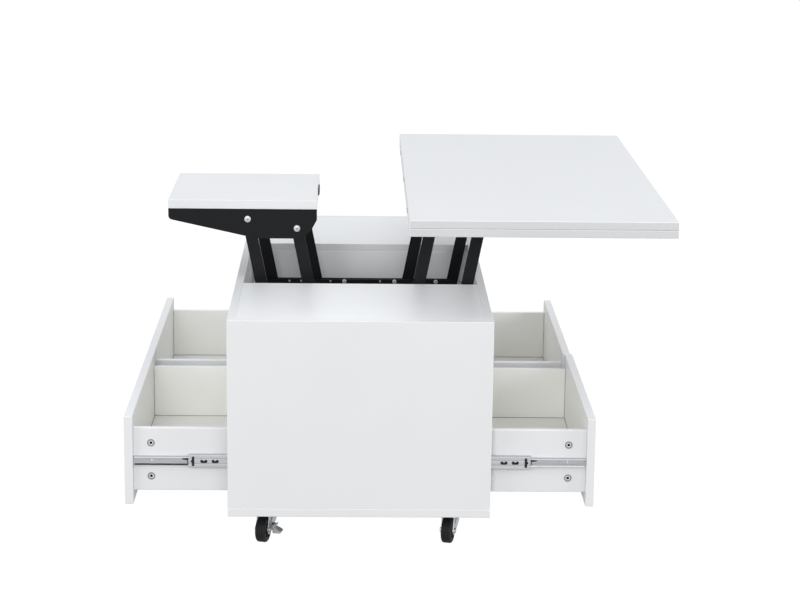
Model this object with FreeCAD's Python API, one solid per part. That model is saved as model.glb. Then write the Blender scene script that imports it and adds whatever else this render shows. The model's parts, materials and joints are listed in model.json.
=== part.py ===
import FreeCAD, Part
import math
import os

# A coffee table that turns into a dining table: a low cabinet on casters with four drawers and an open
# well in its top. Two parallel-arm lifts stand in the well. The right one carries a folded double top,
# the left one a small panel that holds the upper leaf when it is unfolded. The model stands open, with
# both lifts up and the drawers pulled out. X runs across, Y from the front end (minus) to the rear end,
# Z up from the floor. Lengths are in millimetres, angles in degrees.

# Cabinet boards
CABINET_WIDTH = 500.0
CABINET_DEPTH = 1000.0
CABINET_HEIGHT = 385.0
BOARD = 16.0
EDGE_BREAK = 0.8
LEDGE_DEPTH = 310.0
SIDE_WALL_HEIGHT = 191.0
WELL_FLOOR_DROP = 186.0

# Drawers and their slides
DRAWER_FRONT_HEIGHT = 174.0
FRONT_GAP = 2.0
FRONT_LIFT = 1.6
CLOSED_PROUD = 0.5
BOX_HEIGHT = 123.5
BOX_LENGTH = 210.0
BOX_BASE = 115.0
BOX_WALL = 12.0
BOTTOM_THICKNESS = 5.0
BOTTOM_LIFT = 12.0
GROOVE_DEPTH = 6.0
GLUE_GAP = 0.15
SLIDE_LENGTH = 200.0
SLIDE_SPACE = 12.7
SLIDE_SETBACK = 1.0
SLIDE_Z = 176.0
SLIDE_STEEL = 1.2
CAM_RADIUS = 7.4
CAM_DEPTH = 10.0
CAM_SETBACK = 34.0
CAM_HEIGHTS = (143.0, 209.0)
CAM_SOCKET_RADIUS = 2.6
CAM_SOCKET_DEPTH = 2.5

# Slide members: the reach of their lips from the cabinet face, and their heights
CABINET_MEMBER_LIP = 10.5
CABINET_MEMBER_HEIGHT = 35.0
MIDDLE_MEMBER_BACK = 2.2
MIDDLE_MEMBER_LIP = 11.0
MIDDLE_MEMBER_HEIGHT = 25.0
MIDDLE_MEMBER_SETBACK = 6.0
DRAWER_MEMBER_LIP = 4.4
DRAWER_MEMBER_HEIGHT = 16.5

# How far each drawer is pulled out
DRAWER_PULL = {
    "left_front": 196.0,
    "left_rear": 196.0,
    "right_front": 199.0,
    "right_rear": 195.0,
}

# Lifts: link length, lean of the raised links, spacing of the two links and drop when closed
TOP_LINK = 316.0
TOP_LEAN = 11.0
TOP_LINK_SPACING = 97.2
TOP_UNDERSIDE = 162.0
TOP_CLOSED_GAP = 0.3
TOP_PIVOT_DROP = 20.0
TOP_OUTER_PIVOT_INSET = 346.0
PANEL_LINK = 280.0
PANEL_LEAN = 11.5
PANEL_LINK_SPACING = (99.0, -18.5)
PANEL_TOP = 160.6
PANEL_CLOSED_GAP = 2.6
PANEL_WALL_GAP = 9.2
PANEL_OUTER_PIVOT = (159.0, 38.6)
ARM_WIDTH = 24.0
PIN_RADIUS = 4.0
RUNNING_CLEARANCE = 0.05
OPEN_PIVOT_CLEARANCE = 0.1
COLLAR_RADIUS = 7.0
BOLT_HEAD_RADIUS = 6.4
BOLT_HEAD_HEIGHT = 4.0
BOLT_HEAD_ROUNDING = 1.6
SIDE_PLAY = 0.3

# Lift layers, as distances from the middle of the well towards either end of the cabinet
WALL_PLATE_LAYER = (187.0, 190.0)
TOP_ARM_LAYER = (174.0, 178.0)
TOP_BRACKET_LAYER = (170.0, 173.0)
PANEL_BRACKET_LAYER = (145.0, 148.0)
PANEL_ARM_LAYER = (140.0, 144.0)
INNER_PLATE_LAYER = (131.0, 134.0)
PLATE_STEEL = 3.0
PLATE_LEFT = -205.0
PLATE_RIGHT = 208.0
WALL_PLATE_DROP = 76.0
INNER_PLATE_DROP = 66.0
PLATE_CORNER = 12.0
INNER_PLATE_FOOT = 30.0
FLANGE_INNER = 115.0
BRACKET_CORNER = 9.0
TOP_BRACKET_END = 20.0
TOP_BRACKET_DROP = 37.0

# Outline of the panel's brackets: heights above the cabinet's top, and distances from the panel's ends
PANEL_BRACKET_TIP = 120.8
PANEL_BRACKET_FOOT = 82.2
PANEL_BRACKET_FOOT_START = 176.0
PANEL_BRACKET_FOOT_END = 30.0
PANEL_BRACKET_NECK = (11.0, 100.0)
PANEL_BRACKET_SHOULDER = 121.0

# Folding top and support panel
LEAF_THICKNESS = 15.0
LEAF_GAP = 0.6
LEAF_SEAM = 0.25
PANEL_WIDTH = 298.0
PANEL_DEPTH = 300.0
PANEL_THICKNESS = 18.0
PULL_LENGTH = 60.0
PULL_HEIGHT = 12.0
PULL_STAND = 3.0
PULL_EDGE = 1.2
HINGE_PLACES = (-325.0, 0.0, 325.0)
HINGE_LENGTH = 40.0
HINGE_KNUCKLE = 14.0
HINGE_RADIUS = 1.8
HINGE_PIN_RADIUS = 0.9
HINGE_STEEL = 1.2
HINGE_PLATE_WIDTH = 30.0
HINGE_RELIEF = 0.6

# Casters
CASTER_HEIGHT = 72.0
CASTER_X = 179.0
CASTER_Y = 414.0
CASTER_TURN = {"front_left": 15.0, "front_right": 14.3, "rear_left": 18.0, "rear_right": 15.0}
BRAKED_CASTERS = ("front_left", "rear_right")
WHEEL_RADIUS = 25.0
WHEEL_WIDTH = 20.0
WHEEL_EDGE = 4.0
HUB_RADIUS = 9.0
HUB_WIDTH = 21.0
RIM_RADIUS = 16.0
RIM_RECESS = 3.0
TRAIL = 24.0
FORK_GAP = 22.0
FORK_STEEL = 2.0
FORK_TOP = 64.5
FORK_CROWN_RADIUS = 19.0
FORK_EYE = 9.0
FORK_FRONT_TOP = -18.0
FORK_REAR = 22.0
FORK_REAR_BASE = 33.0
RIB_RADIUS = 1.8
RIB_LOW = (-17.0, 36.0)
RIB_HIGH = (4.0, 58.0)
AXLE_RADIUS = 3.0
AXLE_HEAD_RADIUS = 5.0
AXLE_HEAD = 2.5
CASTER_PLATE = 44.0
CASTER_PLATE_STEEL = 2.5
CASTER_PLATE_CORNER = 5.0
RACE_RADIUS = 18.0
RACE_TAPER = 3.0
KINGPIN_RADIUS = 4.0
KINGPIN_HEAD_RADIUS = 7.0
KINGPIN_HEAD = 2.5

# Brake lever on a caster's right cheek, in the caster's own frame: places across and up, widths along
LEVER_PIVOT = (16.5, 29.0)
LEVER_MIDDLE = -8.0
LEVER_STEEL = 2.0
LEVER_BARREL_RADIUS = 3.0
LEVER_BARREL_WIDTH = 12.0
LEVER_PIN_RADIUS = 1.6
LUG_STEEL = 2.7
PEDAL_TIP = (33.0, 18.0)
PEDAL_WAIST = 0.38
PEDAL_TIP_WIDTH = 22.0
PEDAL_CORNER = 3.5
EAR_TIP = (25.0, 34.0)
EAR_WIDTH = 10.0
EAR_CORNER = 3.0
SHOE_TIP = (12.95, 20.5)
SHOE_WIDTH = 8.0
SHOE_STEEL = 2.5
NOTCH_WIDTH = 10.8
NOTCH_TOP = 27.0

# Heights and half sizes that follow
BASE_Z = CASTER_HEIGHT
TOP_Z = CASTER_HEIGHT + CABINET_HEIGHT
HALF_W = CABINET_WIDTH / 2
HALF_D = CABINET_DEPTH / 2
INNER_W = HALF_W - BOARD
INNER_D = HALF_D - BOARD
WELL_HALF = HALF_D - LEDGE_DEPTH
SHELF_TOP = TOP_Z - WELL_FLOOR_DROP
SHELF_BASE = SHELF_TOP - BOARD
FRONT_BASE = BASE_Z + BOARD + FRONT_LIFT
FRONT_INNER = INNER_W + CLOSED_PROUD
BOX_OUTER_V = INNER_D - SLIDE_SPACE
BOX_INNER_V = BOARD / 2 + SLIDE_SPACE


def closing(link, lean, drop):
    """How far a lift swings to come down by the drop, and how far that carries it across."""
    end = math.degrees(math.acos(math.cos(math.radians(lean)) - drop / link))
    across = link * (math.sin(math.radians(lean)) + math.sin(math.radians(end)))
    return lean + end, across


TOP_SWING, TOP_ACROSS = closing(TOP_LINK, TOP_LEAN, TOP_UNDERSIDE - TOP_CLOSED_GAP)
PANEL_SWING, PANEL_ACROSS = closing(PANEL_LINK, PANEL_LEAN, PANEL_TOP + PANEL_CLOSED_GAP)

# The folded top, raised, and its hinge line
LEAF_LEFT = -HALF_W + TOP_ACROSS
LEAF_RIGHT = LEAF_LEFT + CABINET_WIDTH
LOWER_LEAF_BASE = TOP_Z + TOP_UNDERSIDE
LOWER_LEAF_TOP = LOWER_LEAF_BASE + LEAF_THICKNESS
UPPER_LEAF_BASE = LOWER_LEAF_TOP + LEAF_GAP
UPPER_LEAF_TOP = UPPER_LEAF_BASE + LEAF_THICKNESS
HINGE_AXIS = (LEAF_LEFT, LOWER_LEAF_TOP + LEAF_GAP / 2)

# Pivots as (x, z), first the link nearer the outside, then the one nearer the middle
TOP_UPPER = [
    (LEAF_RIGHT - TOP_OUTER_PIVOT_INSET, LOWER_LEAF_BASE - TOP_PIVOT_DROP),
    (LEAF_RIGHT - TOP_OUTER_PIVOT_INSET - TOP_LINK_SPACING, LOWER_LEAF_BASE - TOP_PIVOT_DROP),
]
TOP_GROUND = [
    (
        x - TOP_LINK * math.sin(math.radians(TOP_LEAN)),
        z - TOP_LINK * math.cos(math.radians(TOP_LEAN)),
    )
    for x, z in TOP_UPPER
]

# The support panel, raised; closed, its right edge stops short of the right wall
PANEL_LEFT = INNER_W - PANEL_WALL_GAP - PANEL_WIDTH - PANEL_ACROSS
PANEL_RIGHT = PANEL_LEFT + PANEL_WIDTH
PANEL_FACE = TOP_Z + PANEL_TOP
PANEL_BASE = PANEL_FACE - PANEL_THICKNESS
PANEL_UPPER = [
    (PANEL_LEFT + PANEL_OUTER_PIVOT[0], PANEL_FACE - PANEL_OUTER_PIVOT[1]),
    (
        PANEL_LEFT + PANEL_OUTER_PIVOT[0] + PANEL_LINK_SPACING[0],
        PANEL_FACE - PANEL_OUTER_PIVOT[1] + PANEL_LINK_SPACING[1],
    ),
]
PANEL_GROUND = [
    (
        x + PANEL_LINK * math.sin(math.radians(PANEL_LEAN)),
        z - PANEL_LINK * math.cos(math.radians(PANEL_LEAN)),
    )
    for x, z in PANEL_UPPER
]

# The origin is under the middle of the open table's outline
LEFT_REACH = -(HALF_W + CLOSED_PROUD + max(DRAWER_PULL["left_front"], DRAWER_PULL["left_rear"]))
MIDDLE_X = (LEFT_REACH + LEAF_RIGHT) / 2
ENDS = (-1, 1)
SAME_PLACE = 0.01


def save(node, *solids):
    """Write a node's solids, moved so that the origin is under the middle."""
    moved = []
    for solid in solids:
        copy = solid.copy()
        copy.translate(FreeCAD.Vector(-MIDDLE_X, 0, 0))
        moved.append(copy)
    shape = moved[0] if len(moved) == 1 else Part.makeCompound(moved)
    shape.exportStep("parts/" + node + ".step")


def block(x, y, z):
    """A box between two values on each axis, in either order."""
    low = FreeCAD.Vector(min(x), min(y), min(z))
    return Part.makeBox(abs(x[1] - x[0]), abs(y[1] - y[0]), abs(z[1] - z[0]), low)


def board(x, y, z):
    """A board with its edges broken, as edge banding is."""
    plain = block(x, y, z)
    return plain.makeChamfer(EDGE_BREAK, plain.Edges)


def rod(x, z, radius, y):
    """A round bar along Y."""
    low = FreeCAD.Vector(x, min(y), z)
    return Part.makeCylinder(radius, abs(y[1] - y[0]), low, FreeCAD.Vector(0, 1, 0))


def joined(first, *others):
    """Several shapes fused to one solid."""
    fused = first.fuse(list(others)).removeSplitter()
    return fused.Solids[0]


def plate(outline, y):
    """A flat plate standing along X: an outline of (x, z, corner radius) between two values of Y."""
    edges = []
    count = len(outline)
    starts = []
    for i in range(count):
        x, z, radius = outline[i]
        here = FreeCAD.Vector(x, y[0], z)
        if radius == 0:
            starts.append((here, None, here))
            continue
        before = FreeCAD.Vector(outline[i - 1][0], y[0], outline[i - 1][1])
        after = FreeCAD.Vector(outline[(i + 1) % count][0], y[0], outline[(i + 1) % count][1])
        back = (before - here).normalize()
        on = (after - here).normalize()
        half_turn = back.getAngle(on) / 2
        reach = radius / math.tan(half_turn)
        centre = here + (back + on).normalize() * (radius / math.sin(half_turn))
        middle = centre + (here - centre).normalize() * radius
        starts.append((here + back * reach, middle, here + on * reach))
    for i in range(count):
        arrive, middle, leave = starts[i]
        if middle is not None:
            edges.append(Part.Arc(arrive, middle, leave).toShape())
        edges.append(Part.LineSegment(leave, starts[(i + 1) % count][0]).toShape())
    face = Part.Face(Part.Wire(edges))
    return face.extrude(FreeCAD.Vector(0, y[1] - y[0], 0))


def channel(x, wall_face, towards, web, tip, height):
    """A slide's C section along X, at distances from the cabinet face that its slide is fixed to."""
    back, inside = (wall_face + towards * d for d in web)
    lip = wall_face + towards * tip
    top = SLIDE_Z + height / 2
    base = SLIDE_Z - height / 2
    section = [
        (back, base),
        (lip, base),
        (lip, base + SLIDE_STEEL),
        (inside, base + SLIDE_STEEL),
        (inside, top - SLIDE_STEEL),
        (lip, top - SLIDE_STEEL),
        (lip, top),
        (back, top),
        (back, base),
    ]
    face = Part.Face(Part.makePolygon([FreeCAD.Vector(min(x), y, z) for y, z in section]))
    return face.extrude(FreeCAD.Vector(abs(x[1] - x[0]), 0, 0))


def make_cabinet():
    """The carcass boards."""
    inner_x = (-INNER_W, INNER_W)
    well_walls = []
    save("bottom_board", board((-HALF_W, HALF_W), (-HALF_D, HALF_D), (BASE_Z, BASE_Z + BOARD)))
    for name, end in (("front", -1), ("rear", 1)):
        panel_y = (end * INNER_D, end * HALF_D)
        ledge_y = (end * INNER_D, end * WELL_HALF)
        save(name + "_panel", board((-HALF_W, HALF_W), panel_y, (BASE_Z + BOARD, TOP_Z)))
        save(name + "_ledge", board(inner_x, ledge_y, (TOP_Z - BOARD, TOP_Z)))
        wall_y = (end * WELL_HALF, end * (WELL_HALF + BOARD))
        well_walls.append(board(inner_x, wall_y, (SHELF_TOP, TOP_Z - BOARD)))
    save("well_walls", *well_walls)
    for name, side in (("left", -1), ("right", 1)):
        wall_x = (side * INNER_W, side * HALF_W)
        save(name + "_side_wall", board(wall_x, (-INNER_D, INNER_D), (TOP_Z - SIDE_WALL_HEIGHT, TOP_Z)))
    save("well_floor", board(inner_x, (-INNER_D, INNER_D), (SHELF_BASE, SHELF_TOP)))
    save("drawer_partition", board(inner_x, (-BOARD / 2, BOARD / 2), (BASE_Z + BOARD, SHELF_BASE)))


def slide_faces(end):
    """The two cabinet faces beside a drawer, each with the way from it to the drawer."""
    return ((end * INNER_D, -end), (end * BOARD / 2, end))


def make_cabinet_runners():
    """The slide members fixed in the cabinet."""
    members = []
    for side in (-1, 1):
        run = (side * (INNER_W - SLIDE_SETBACK), side * (INNER_W - SLIDE_SETBACK - SLIDE_LENGTH))
        for end in ENDS:
            for face, towards in slide_faces(end):
                web = (0, SLIDE_STEEL)
                members.append(channel(run, face, towards, web, CABINET_MEMBER_LIP, CABINET_MEMBER_HEIGHT))
    save("cabinet_runners", *members)


def make_drawer(name, side, end):
    """One drawer: its front, box, cam fittings, its slide members and the sliding members between."""
    pull = DRAWER_PULL[name]
    front_inner = FRONT_INNER + pull
    box_back = front_inner - BOX_LENGTH
    front_x = (side * front_inner, side * (front_inner + BOARD))
    front_y = (end * FRONT_GAP / 2, end * (INNER_D - FRONT_GAP))
    save(name + "_drawer_front", board(front_x, front_y, (FRONT_BASE, FRONT_BASE + DRAWER_FRONT_HEIGHT)))

    box_z = (BOX_BASE, BOX_BASE + BOX_HEIGHT)
    bottom_z = (BOX_BASE + BOTTOM_LIFT, BOX_BASE + BOTTOM_LIFT + BOTTOM_THICKNESS)
    groove_z = (bottom_z[0] - GLUE_GAP, bottom_z[1] + GLUE_GAP)
    cam_x = side * (front_inner - CAM_SETBACK)
    walls = []
    cams = []
    for outer, inward in ((BOX_OUTER_V, -1), (BOX_INNER_V, 1)):
        inner = outer + inward * BOX_WALL
        wall = board((side * box_back, side * front_inner), (end * outer, end * inner), box_z)
        groove = (end * inner, end * (inner - inward * GROOVE_DEPTH))
        wall = wall.cut(block((side * box_back, side * front_inner), groove, groove_z))
        for height in CAM_HEIGHTS:
            bore_y = (end * outer, end * (outer + inward * (CAM_DEPTH + GLUE_GAP)))
            wall = wall.cut(rod(cam_x, height, CAM_RADIUS + RUNNING_CLEARANCE, bore_y))
            cam = rod(cam_x, height, CAM_RADIUS, (end * outer, end * (outer + inward * CAM_DEPTH)))
            socket_y = (end * outer, end * (outer + inward * CAM_SOCKET_DEPTH))
            cams.append(cam.cut(rod(cam_x, height, CAM_SOCKET_RADIUS, socket_y)))
        walls.append(wall)
    back_x = (side * box_back, side * (box_back + BOX_WALL))
    between = (BOX_INNER_V + BOX_WALL + GLUE_GAP, BOX_OUTER_V - BOX_WALL - GLUE_GAP)
    back = board(back_x, (end * between[0], end * between[1]), box_z)
    back_groove = (back_x[1], back_x[1] - side * GROOVE_DEPTH)
    back = back.cut(block(back_groove, (end * between[0], end * between[1]), groove_z))
    tongue = GROOVE_DEPTH - 2 * GLUE_GAP
    bottom_x = (back_x[1] - side * tongue, side * (front_inner - GLUE_GAP))
    bottom_y = (end * (between[0] - tongue), end * (between[1] + tongue))
    save(name + "_drawer_box", *walls, back, block(bottom_x, bottom_y, bottom_z))
    save(name + "_drawer_cams", *cams)

    slide_front = INNER_W - SLIDE_SETBACK
    inner_x = (side * (slide_front + pull), side * (slide_front + pull - SLIDE_LENGTH))
    middle_front = slide_front + pull / 2
    middle_x = (side * (middle_front - MIDDLE_MEMBER_SETBACK), side * (middle_front - SLIDE_LENGTH))
    inner_web = (SLIDE_SPACE, SLIDE_SPACE - SLIDE_STEEL)
    middle_web = (MIDDLE_MEMBER_BACK, MIDDLE_MEMBER_BACK + SLIDE_STEEL)
    inner_members = []
    middle_members = []
    for face, towards in slide_faces(end):
        inner_members.append(
            channel(inner_x, face, towards, inner_web, DRAWER_MEMBER_LIP, DRAWER_MEMBER_HEIGHT)
        )
        middle_members.append(
            channel(middle_x, face, towards, middle_web, MIDDLE_MEMBER_LIP, MIDDLE_MEMBER_HEIGHT)
        )
    save(name + "_drawer_runners", *inner_members)
    save(name + "_slide_middles", *middle_members)


def in_layer(end, layer):
    """A lift layer's two values of Y at one end of the well."""
    return (end * layer[0], end * layer[1])


def link_arm(ground, upper, layer, end, upper_clearance):
    """A flat link with round ends between two pivots."""
    along = FreeCAD.Vector(upper[0] - ground[0], 0, upper[1] - ground[1]).normalize()
    across = FreeCAD.Vector(-along.z, 0, along.x) * (ARM_WIDTH / 2)
    y = in_layer(end, layer)
    low = FreeCAD.Vector(ground[0], y[0], ground[1])
    high = FreeCAD.Vector(upper[0], y[0], upper[1])
    round_low = low - along * (ARM_WIDTH / 2)
    round_high = high + along * (ARM_WIDTH / 2)
    edges = [
        Part.LineSegment(low + across, high + across).toShape(),
        Part.Arc(high + across, round_high, high - across).toShape(),
        Part.LineSegment(high - across, low - across).toShape(),
        Part.Arc(low - across, round_low, low + across).toShape(),
    ]
    arm = Part.Face(Part.Wire(edges)).extrude(FreeCAD.Vector(0, y[1] - y[0], 0))
    arm = arm.cut(rod(ground[0], ground[1], PIN_RADIUS + RUNNING_CLEARANCE, y))
    return arm.cut(rod(upper[0], upper[1], PIN_RADIUS + upper_clearance, y))


def make_arms():
    """Four pairs of links, each pair one at the front of the well and one at the rear."""
    lifts = (
        ("top", TOP_GROUND, TOP_UPPER, TOP_ARM_LAYER),
        ("panel", PANEL_GROUND, PANEL_UPPER, PANEL_ARM_LAYER),
    )
    for lift, grounds, uppers, layer in lifts:
        clearances = (RUNNING_CLEARANCE, OPEN_PIVOT_CLEARANCE)
        for place, ground, upper, clearance in zip(("outer", "inner"), grounds, uppers, clearances):
            pair = [link_arm(ground, upper, layer, end, clearance) for end in ENDS]
            save(lift + "_" + place + "_arms", *pair)


def make_base_plates():
    """The plates that hold the links' lower pivots, on the well's walls and on its floor."""
    pivots = TOP_GROUND + PANEL_GROUND
    wall_plates = []
    inner_plates = []
    for end in ENDS:
        wall_y = in_layer(end, WALL_PLATE_LAYER)
        inner_y = in_layer(end, INNER_PLATE_LAYER)
        wall_top = TOP_Z - WALL_PLATE_DROP
        inner_top = TOP_Z - INNER_PLATE_DROP
        wall_outline = [
            (PLATE_LEFT, SHELF_TOP, 0),
            (PLATE_RIGHT, SHELF_TOP, 0),
            (PLATE_RIGHT, wall_top, PLATE_CORNER),
            (PLATE_LEFT, wall_top, PLATE_CORNER),
        ]
        inner_outline = [
            (PLATE_LEFT, SHELF_TOP, 0),
            (PLATE_RIGHT, SHELF_TOP, 0),
            (PLATE_RIGHT, inner_top, PLATE_CORNER),
            (PLATE_LEFT, inner_top, PLATE_CORNER),
        ]
        wall_plate = plate(wall_outline, wall_y)
        foot_y = (inner_y[0], inner_y[0] - end * INNER_PLATE_FOOT)
        foot = block((PLATE_LEFT, PLATE_RIGHT), foot_y, (SHELF_TOP, SHELF_TOP + PLATE_STEEL))
        inner_plate = joined(plate(inner_outline, inner_y), foot)
        for x, z in pivots:
            wall_plate = wall_plate.cut(rod(x, z, PIN_RADIUS + RUNNING_CLEARANCE, wall_y))
            inner_plate = inner_plate.cut(rod(x, z, PIN_RADIUS + RUNNING_CLEARANCE, inner_y))
        wall_plates.append(wall_plate)
        inner_plates.append(inner_plate)
    save("lift_wall_plates", *wall_plates)
    save("lift_inner_plates", *inner_plates)


def make_ground_pins():
    """Stepped pins between the plates, with a collar on each side of their link."""
    pins = []
    for pivots, layer in ((TOP_GROUND, TOP_ARM_LAYER), (PANEL_GROUND, PANEL_ARM_LAYER)):
        for x, z in pivots:
            for end in ENDS:
                core = rod(x, z, PIN_RADIUS, (end * INNER_PLATE_LAYER[0], end * WALL_PLATE_LAYER[1]))
                inner_collar = (end * INNER_PLATE_LAYER[1], end * (layer[0] - SIDE_PLAY))
                outer_collar = (end * (layer[1] + SIDE_PLAY), end * WALL_PLATE_LAYER[0])
                head = (end * (INNER_PLATE_LAYER[0] - BOLT_HEAD_HEIGHT), end * INNER_PLATE_LAYER[0])
                pins.append(
                    joined(
                        core,
                        rod(x, z, COLLAR_RADIUS, inner_collar),
                        rod(x, z, COLLAR_RADIUS, outer_collar),
                        rod(x, z, BOLT_HEAD_RADIUS, head),
                    )
                )
    save("lift_ground_pins", *pins)


def bracket_bolts(pivots, head_face, head_way, nut_face):
    """Pivot bolts through a bracket and its link: a round head on one side, a nut on the other."""
    bolts = []
    for x, z in pivots:
        for end in ENDS:
            shank = rod(x, z, PIN_RADIUS, (end * head_face, end * nut_face))
            head = (end * head_face, end * (head_face + head_way * BOLT_HEAD_HEIGHT))
            nut = (end * nut_face, end * (nut_face - head_way * BOLT_HEAD_HEIGHT))
            head_rod = rod(x, z, BOLT_HEAD_RADIUS, head)
            rim = [e for e in head_rod.Edges if abs(e.CenterOfMass.y - head[1]) < SAME_PLACE and e.Closed]
            domed = head_rod.makeFillet(BOLT_HEAD_ROUNDING, rim)
            bolts.append(joined(shank, domed, rod(x, z, BOLT_HEAD_RADIUS, nut)))
    return bolts


def make_top_lift():
    """The brackets and bolts that carry the folded top, and its two leaves."""
    low = LOWER_LEAF_BASE - TOP_BRACKET_DROP
    outline = [
        (TOP_UPPER[1][0] - TOP_BRACKET_END, LOWER_LEAF_BASE, 0),
        (TOP_UPPER[1][0] - TOP_BRACKET_END, low, BRACKET_CORNER),
        (TOP_UPPER[0][0] + TOP_BRACKET_END, low, BRACKET_CORNER),
        (TOP_UPPER[0][0] + TOP_BRACKET_END, LOWER_LEAF_BASE, 0),
    ]
    brackets = []
    for end in ENDS:
        y = in_layer(end, TOP_BRACKET_LAYER)
        flange_y = (y[0], end * WALL_PLATE_LAYER[0])
        flange_z = (LOWER_LEAF_BASE - PLATE_STEEL, LOWER_LEAF_BASE)
        flange = block((outline[0][0], outline[2][0]), flange_y, flange_z)
        bracket = joined(plate(outline, y), flange)
        for x, z in TOP_UPPER:
            bracket = bracket.cut(rod(x, z, PIN_RADIUS + RUNNING_CLEARANCE, y))
        brackets.append(bracket)
    save("top_brackets", *brackets)
    arm_face = TOP_ARM_LAYER[1] + SIDE_PLAY
    save("top_bracket_bolts", *bracket_bolts(TOP_UPPER, arm_face, 1, TOP_BRACKET_LAYER[0]))

    leaf_x = (LEAF_LEFT + LEAF_SEAM, LEAF_RIGHT)
    leaf_y = (-HALF_D, HALF_D)
    lower = board(leaf_x, leaf_y, (LOWER_LEAF_BASE, LOWER_LEAF_TOP))
    upper = board(leaf_x, leaf_y, (UPPER_LEAF_BASE, UPPER_LEAF_TOP))
    room = HINGE_RADIUS + HINGE_RELIEF
    axis_x, axis_z = HINGE_AXIS
    for place in HINGE_PLACES:
        span = (place - HINGE_LENGTH / 2 - HINGE_RELIEF, place + HINGE_LENGTH / 2 + HINGE_RELIEF)
        barrel_room = block((LEAF_LEFT, LEAF_LEFT + room), span, (axis_z - room, axis_z + room))
        plate_x = (LEAF_LEFT, LEAF_LEFT + HINGE_PLATE_WIDTH + HINGE_RELIEF)
        lower_mortise = block(plate_x, span, (LOWER_LEAF_TOP - HINGE_STEEL, LOWER_LEAF_TOP))
        upper_mortise = block(plate_x, span, (UPPER_LEAF_BASE, UPPER_LEAF_BASE + HINGE_STEEL))
        lower = lower.cut(barrel_room).cut(lower_mortise)
        upper = upper.cut(barrel_room).cut(upper_mortise)
    save("lower_leaf", lower)
    save("upper_leaf", upper)
    save("lower_hinge_plates", *[hinge_plate(place, False) for place in HINGE_PLACES])
    save("upper_hinge_plates", *[hinge_plate(place, True) for place in HINGE_PLACES])
    pins = []
    for place in HINGE_PLACES:
        span = (place - HINGE_LENGTH / 2, place + HINGE_LENGTH / 2)
        pins.append(rod(axis_x, axis_z, HINGE_PIN_RADIUS, span))
    save("hinge_pins", *pins)


def hinge_plate(place, is_upper):
    """One half of a hinge: a mortised plate with its knuckles round the pin."""
    axis_x, axis_z = HINGE_AXIS
    start = place - HINGE_LENGTH / 2
    end = place + HINGE_LENGTH / 2
    middle = (place - HINGE_KNUCKLE / 2, place + HINGE_KNUCKLE / 2)
    outer = [(start, middle[0]), (middle[1], end)]
    if is_upper:
        mine = [(middle[0] + SIDE_PLAY, middle[1] - SIDE_PLAY)]
        others = outer
        plate_z = (UPPER_LEAF_BASE, UPPER_LEAF_BASE + HINGE_STEEL)
    else:
        mine = outer
        others = [(middle[0] - SIDE_PLAY, middle[1] + SIDE_PLAY)]
        plate_z = (LOWER_LEAF_TOP - HINGE_STEEL, LOWER_LEAF_TOP)
    half = block((axis_x, axis_x + HINGE_PLATE_WIDTH), (start, end), plate_z)
    for span in others:
        half = half.cut(rod(axis_x, axis_z, HINGE_RADIUS + SIDE_PLAY, span))
        half = half.cut(block((axis_x, axis_x + HINGE_RADIUS), span, plate_z))
    half = joined(half, *[rod(axis_x, axis_z, HINGE_RADIUS, span) for span in mine])
    return half.cut(rod(axis_x, axis_z, HINGE_PIN_RADIUS + RUNNING_CLEARANCE, (start, end)))


def make_panel_lift():
    """The support panel with its brackets, bolts and finger pull."""
    foot = TOP_Z + PANEL_BRACKET_FOOT
    neck_inset, neck_height = PANEL_BRACKET_NECK
    outline = [
        (PANEL_LEFT, PANEL_BASE, 0),
        (PANEL_LEFT, TOP_Z + PANEL_BRACKET_TIP, BRACKET_CORNER),
        (PANEL_LEFT + PANEL_BRACKET_FOOT_START, foot, BRACKET_CORNER),
        (PANEL_RIGHT - PANEL_BRACKET_FOOT_END, foot, BRACKET_CORNER),
        (PANEL_RIGHT - neck_inset, TOP_Z + neck_height, 0),
        (PANEL_RIGHT, TOP_Z + PANEL_BRACKET_SHOULDER, 0),
        (PANEL_RIGHT, PANEL_BASE, 0),
    ]
    brackets = []
    for end in ENDS:
        y = in_layer(end, PANEL_BRACKET_LAYER)
        flange_y = (y[1], end * FLANGE_INNER)
        flange = block((PANEL_LEFT, PANEL_RIGHT), flange_y, (PANEL_BASE - PLATE_STEEL, PANEL_BASE))
        bracket = joined(plate(outline, y), flange)
        for x, z in PANEL_UPPER:
            bracket = bracket.cut(rod(x, z, PIN_RADIUS + RUNNING_CLEARANCE, y))
        brackets.append(bracket)
    save("panel_brackets", *brackets)
    arm_face = PANEL_ARM_LAYER[0] - SIDE_PLAY
    save("panel_bracket_bolts", *bracket_bolts(PANEL_UPPER, PANEL_BRACKET_LAYER[1], 1, arm_face))
    depth = (-PANEL_DEPTH / 2, PANEL_DEPTH / 2)
    save("support_panel", board((PANEL_LEFT, PANEL_RIGHT), depth, (PANEL_BASE, PANEL_FACE)))
    pull = block(
        (PANEL_RIGHT, PANEL_RIGHT + PULL_STAND),
        (-PULL_LENGTH / 2, PULL_LENGTH / 2),
        (PANEL_FACE - PULL_HEIGHT, PANEL_FACE),
    )
    outer = [e for e in pull.Edges if e.BoundBox.XMin > PANEL_RIGHT + PULL_STAND - SAME_PLACE]
    save("finger_pull", pull.makeChamfer(PULL_EDGE, outer))


def turned(shape, x, y, turn):
    """A caster piece, modelled about its swivel axis, turned and put in its place."""
    placed = shape.copy()
    placed.rotate(FreeCAD.Vector(0, 0, 0), FreeCAD.Vector(0, 0, 1), -turn)
    placed.translate(FreeCAD.Vector(x, y, 0))
    return placed


def side_bar(y, z, radius, x):
    """A round bar along X in a caster's own frame."""
    low = FreeCAD.Vector(min(x), y, z)
    return Part.makeCylinder(radius, abs(x[1] - x[0]), low, FreeCAD.Vector(1, 0, 0))


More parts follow.
